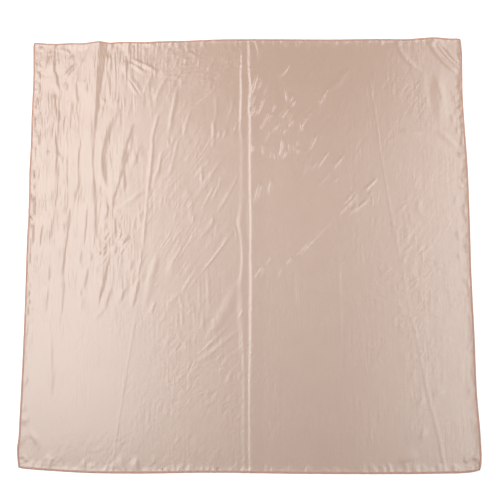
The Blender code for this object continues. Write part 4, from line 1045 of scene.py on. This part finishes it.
def build_floor():
    """Plain white paper under the scarf."""
    half = 0.5 * FLOOR_SIZE
    mesh = bpy.data.meshes.new("floor")
    mesh.from_pydata([(-half, -half, 0.0), (half, -half, 0.0), (half, half, 0.0), (-half, half, 0.0)],
                     [], [(0, 1, 2, 3)])
    material, tree, shader = new_material("white_floor")
    set_inputs(tree, shader, {
        "Base Color": PAPER_COLOUR, "Roughness": 1.0, "Specular IOR Level": 0.0,
        "Emission Color": WHITE, "Emission Strength": FLOOR_GLOW})
    mesh.materials.append(material)
    add_object("floor", mesh)


def build_lights():
    """Level softboxes and a faint even light from all round."""
    for name, x1, x2, y1, y2, radiance in SOFTBOXES:
        width, depth = x2 - x1, y2 - y1
        light = bpy.data.lights.new(name, "AREA")
        light.shape = "RECTANGLE"
        light.size = width
        light.size_y = depth
        light.energy = math.pi * width * depth * radiance * settings().light_strength
        lamp = add_object(name, light)
        lamp.location = (0.5 * (x1 + x2), 0.5 * (y1 + y2), SOFTBOX_HEIGHT)
    world = bpy.data.worlds.new("studio")
    world.use_nodes = True
    tree = world.node_tree
    set_inputs(tree, tree.nodes["Background"], {"Color": WHITE, "Strength": WORLD_RADIANCE})
    bpy.context.scene.world = world


def build_camera():
    """Camera on a tripod in front of the lower hem, looking steeply down."""
    data = bpy.data.cameras.new("camera")
    data.lens = CAMERA_LENS
    data.sensor_width = 36.0
    data.clip_start = 0.1
    data.clip_end = 50.0
    camera = add_object("camera", data)
    back = Vector((0.0, -math.cos(CAMERA_ELEVATION), math.sin(CAMERA_ELEVATION)))
    camera.rotation_mode = "QUATERNION"
    level = back.to_track_quat("Z", "Y").to_matrix().to_4x4()
    turned = level @ Matrix.Rotation(CAMERA_ROLL, 4, "Z")
    camera.matrix_world = Matrix.Translation(CAMERA_TARGET + back * CAMERA_DISTANCE) @ turned
    bpy.context.scene.camera = camera
    bpy.context.scene.view_settings.view_transform = "Standard"


# Interface

class SCARF_OT_sheet(bpy.types.Operator):
    """Build the creased satin sheet"""

    bl_idname = "scarf.sheet"
    bl_label = "Satin Sheet"
    bl_options = {"REGISTER", "UNDO"}

    def execute(self, context):
        build_sheet(sheet_points())
        return {"FINISHED"}


class SCARF_OT_overlock(bpy.types.Operator):
    """Sew the overlock round the satin sheet"""

    bl_idname = "scarf.overlock"
    bl_label = "Overlock"
    bl_options = {"REGISTER", "UNDO"}

    def execute(self, context):
        points = sheet_points()
        build_edges(points)
        return {"FINISHED"}


class SCARF_OT_stage(bpy.types.Operator):
    """Build the floor, the softboxes and the camera"""

    bl_idname = "scarf.stage"
    bl_label = "Stage"
    bl_options = {"REGISTER", "UNDO"}

    def execute(self, context):
        build_floor()
        build_lights()
        build_camera()
        return {"FINISHED"}


class SCARF_PT_panel(bpy.types.Panel):
    """Sidebar panel with the scarf's sizes and its building steps"""

    bl_label = "Square Satin Scarf"
    bl_idname = "SCARF_PT_panel"
    bl_space_type = "VIEW_3D"
    bl_region_type = "UI"
    bl_category = "Scarf"

    def draw(self, context):
        layout = self.layout
        chosen = settings()
        for name in ScarfSettings.__annotations__:
            layout.prop(chosen, name)
        for step in (SCARF_OT_stage, SCARF_OT_sheet, SCARF_OT_overlock):
            layout.operator(step.bl_idname)


CLASSES = (ScarfSettings, SCARF_OT_sheet, SCARF_OT_overlock, SCARF_OT_stage, SCARF_PT_panel)


def register():
    for cls in CLASSES:
        bpy.utils.register_class(cls)
    bpy.types.Scene.scarf_settings = PointerProperty(type=ScarfSettings)


def unregister():
    del bpy.types.Scene.scarf_settings
    for cls in reversed(CLASSES):
        bpy.utils.unregister_class(cls)


def main():
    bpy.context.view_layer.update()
    register()
    bpy.ops.scarf.stage()
    bpy.ops.scarf.sheet()
    bpy.ops.scarf.overlock()


if __name__ == "__main__":
    main()
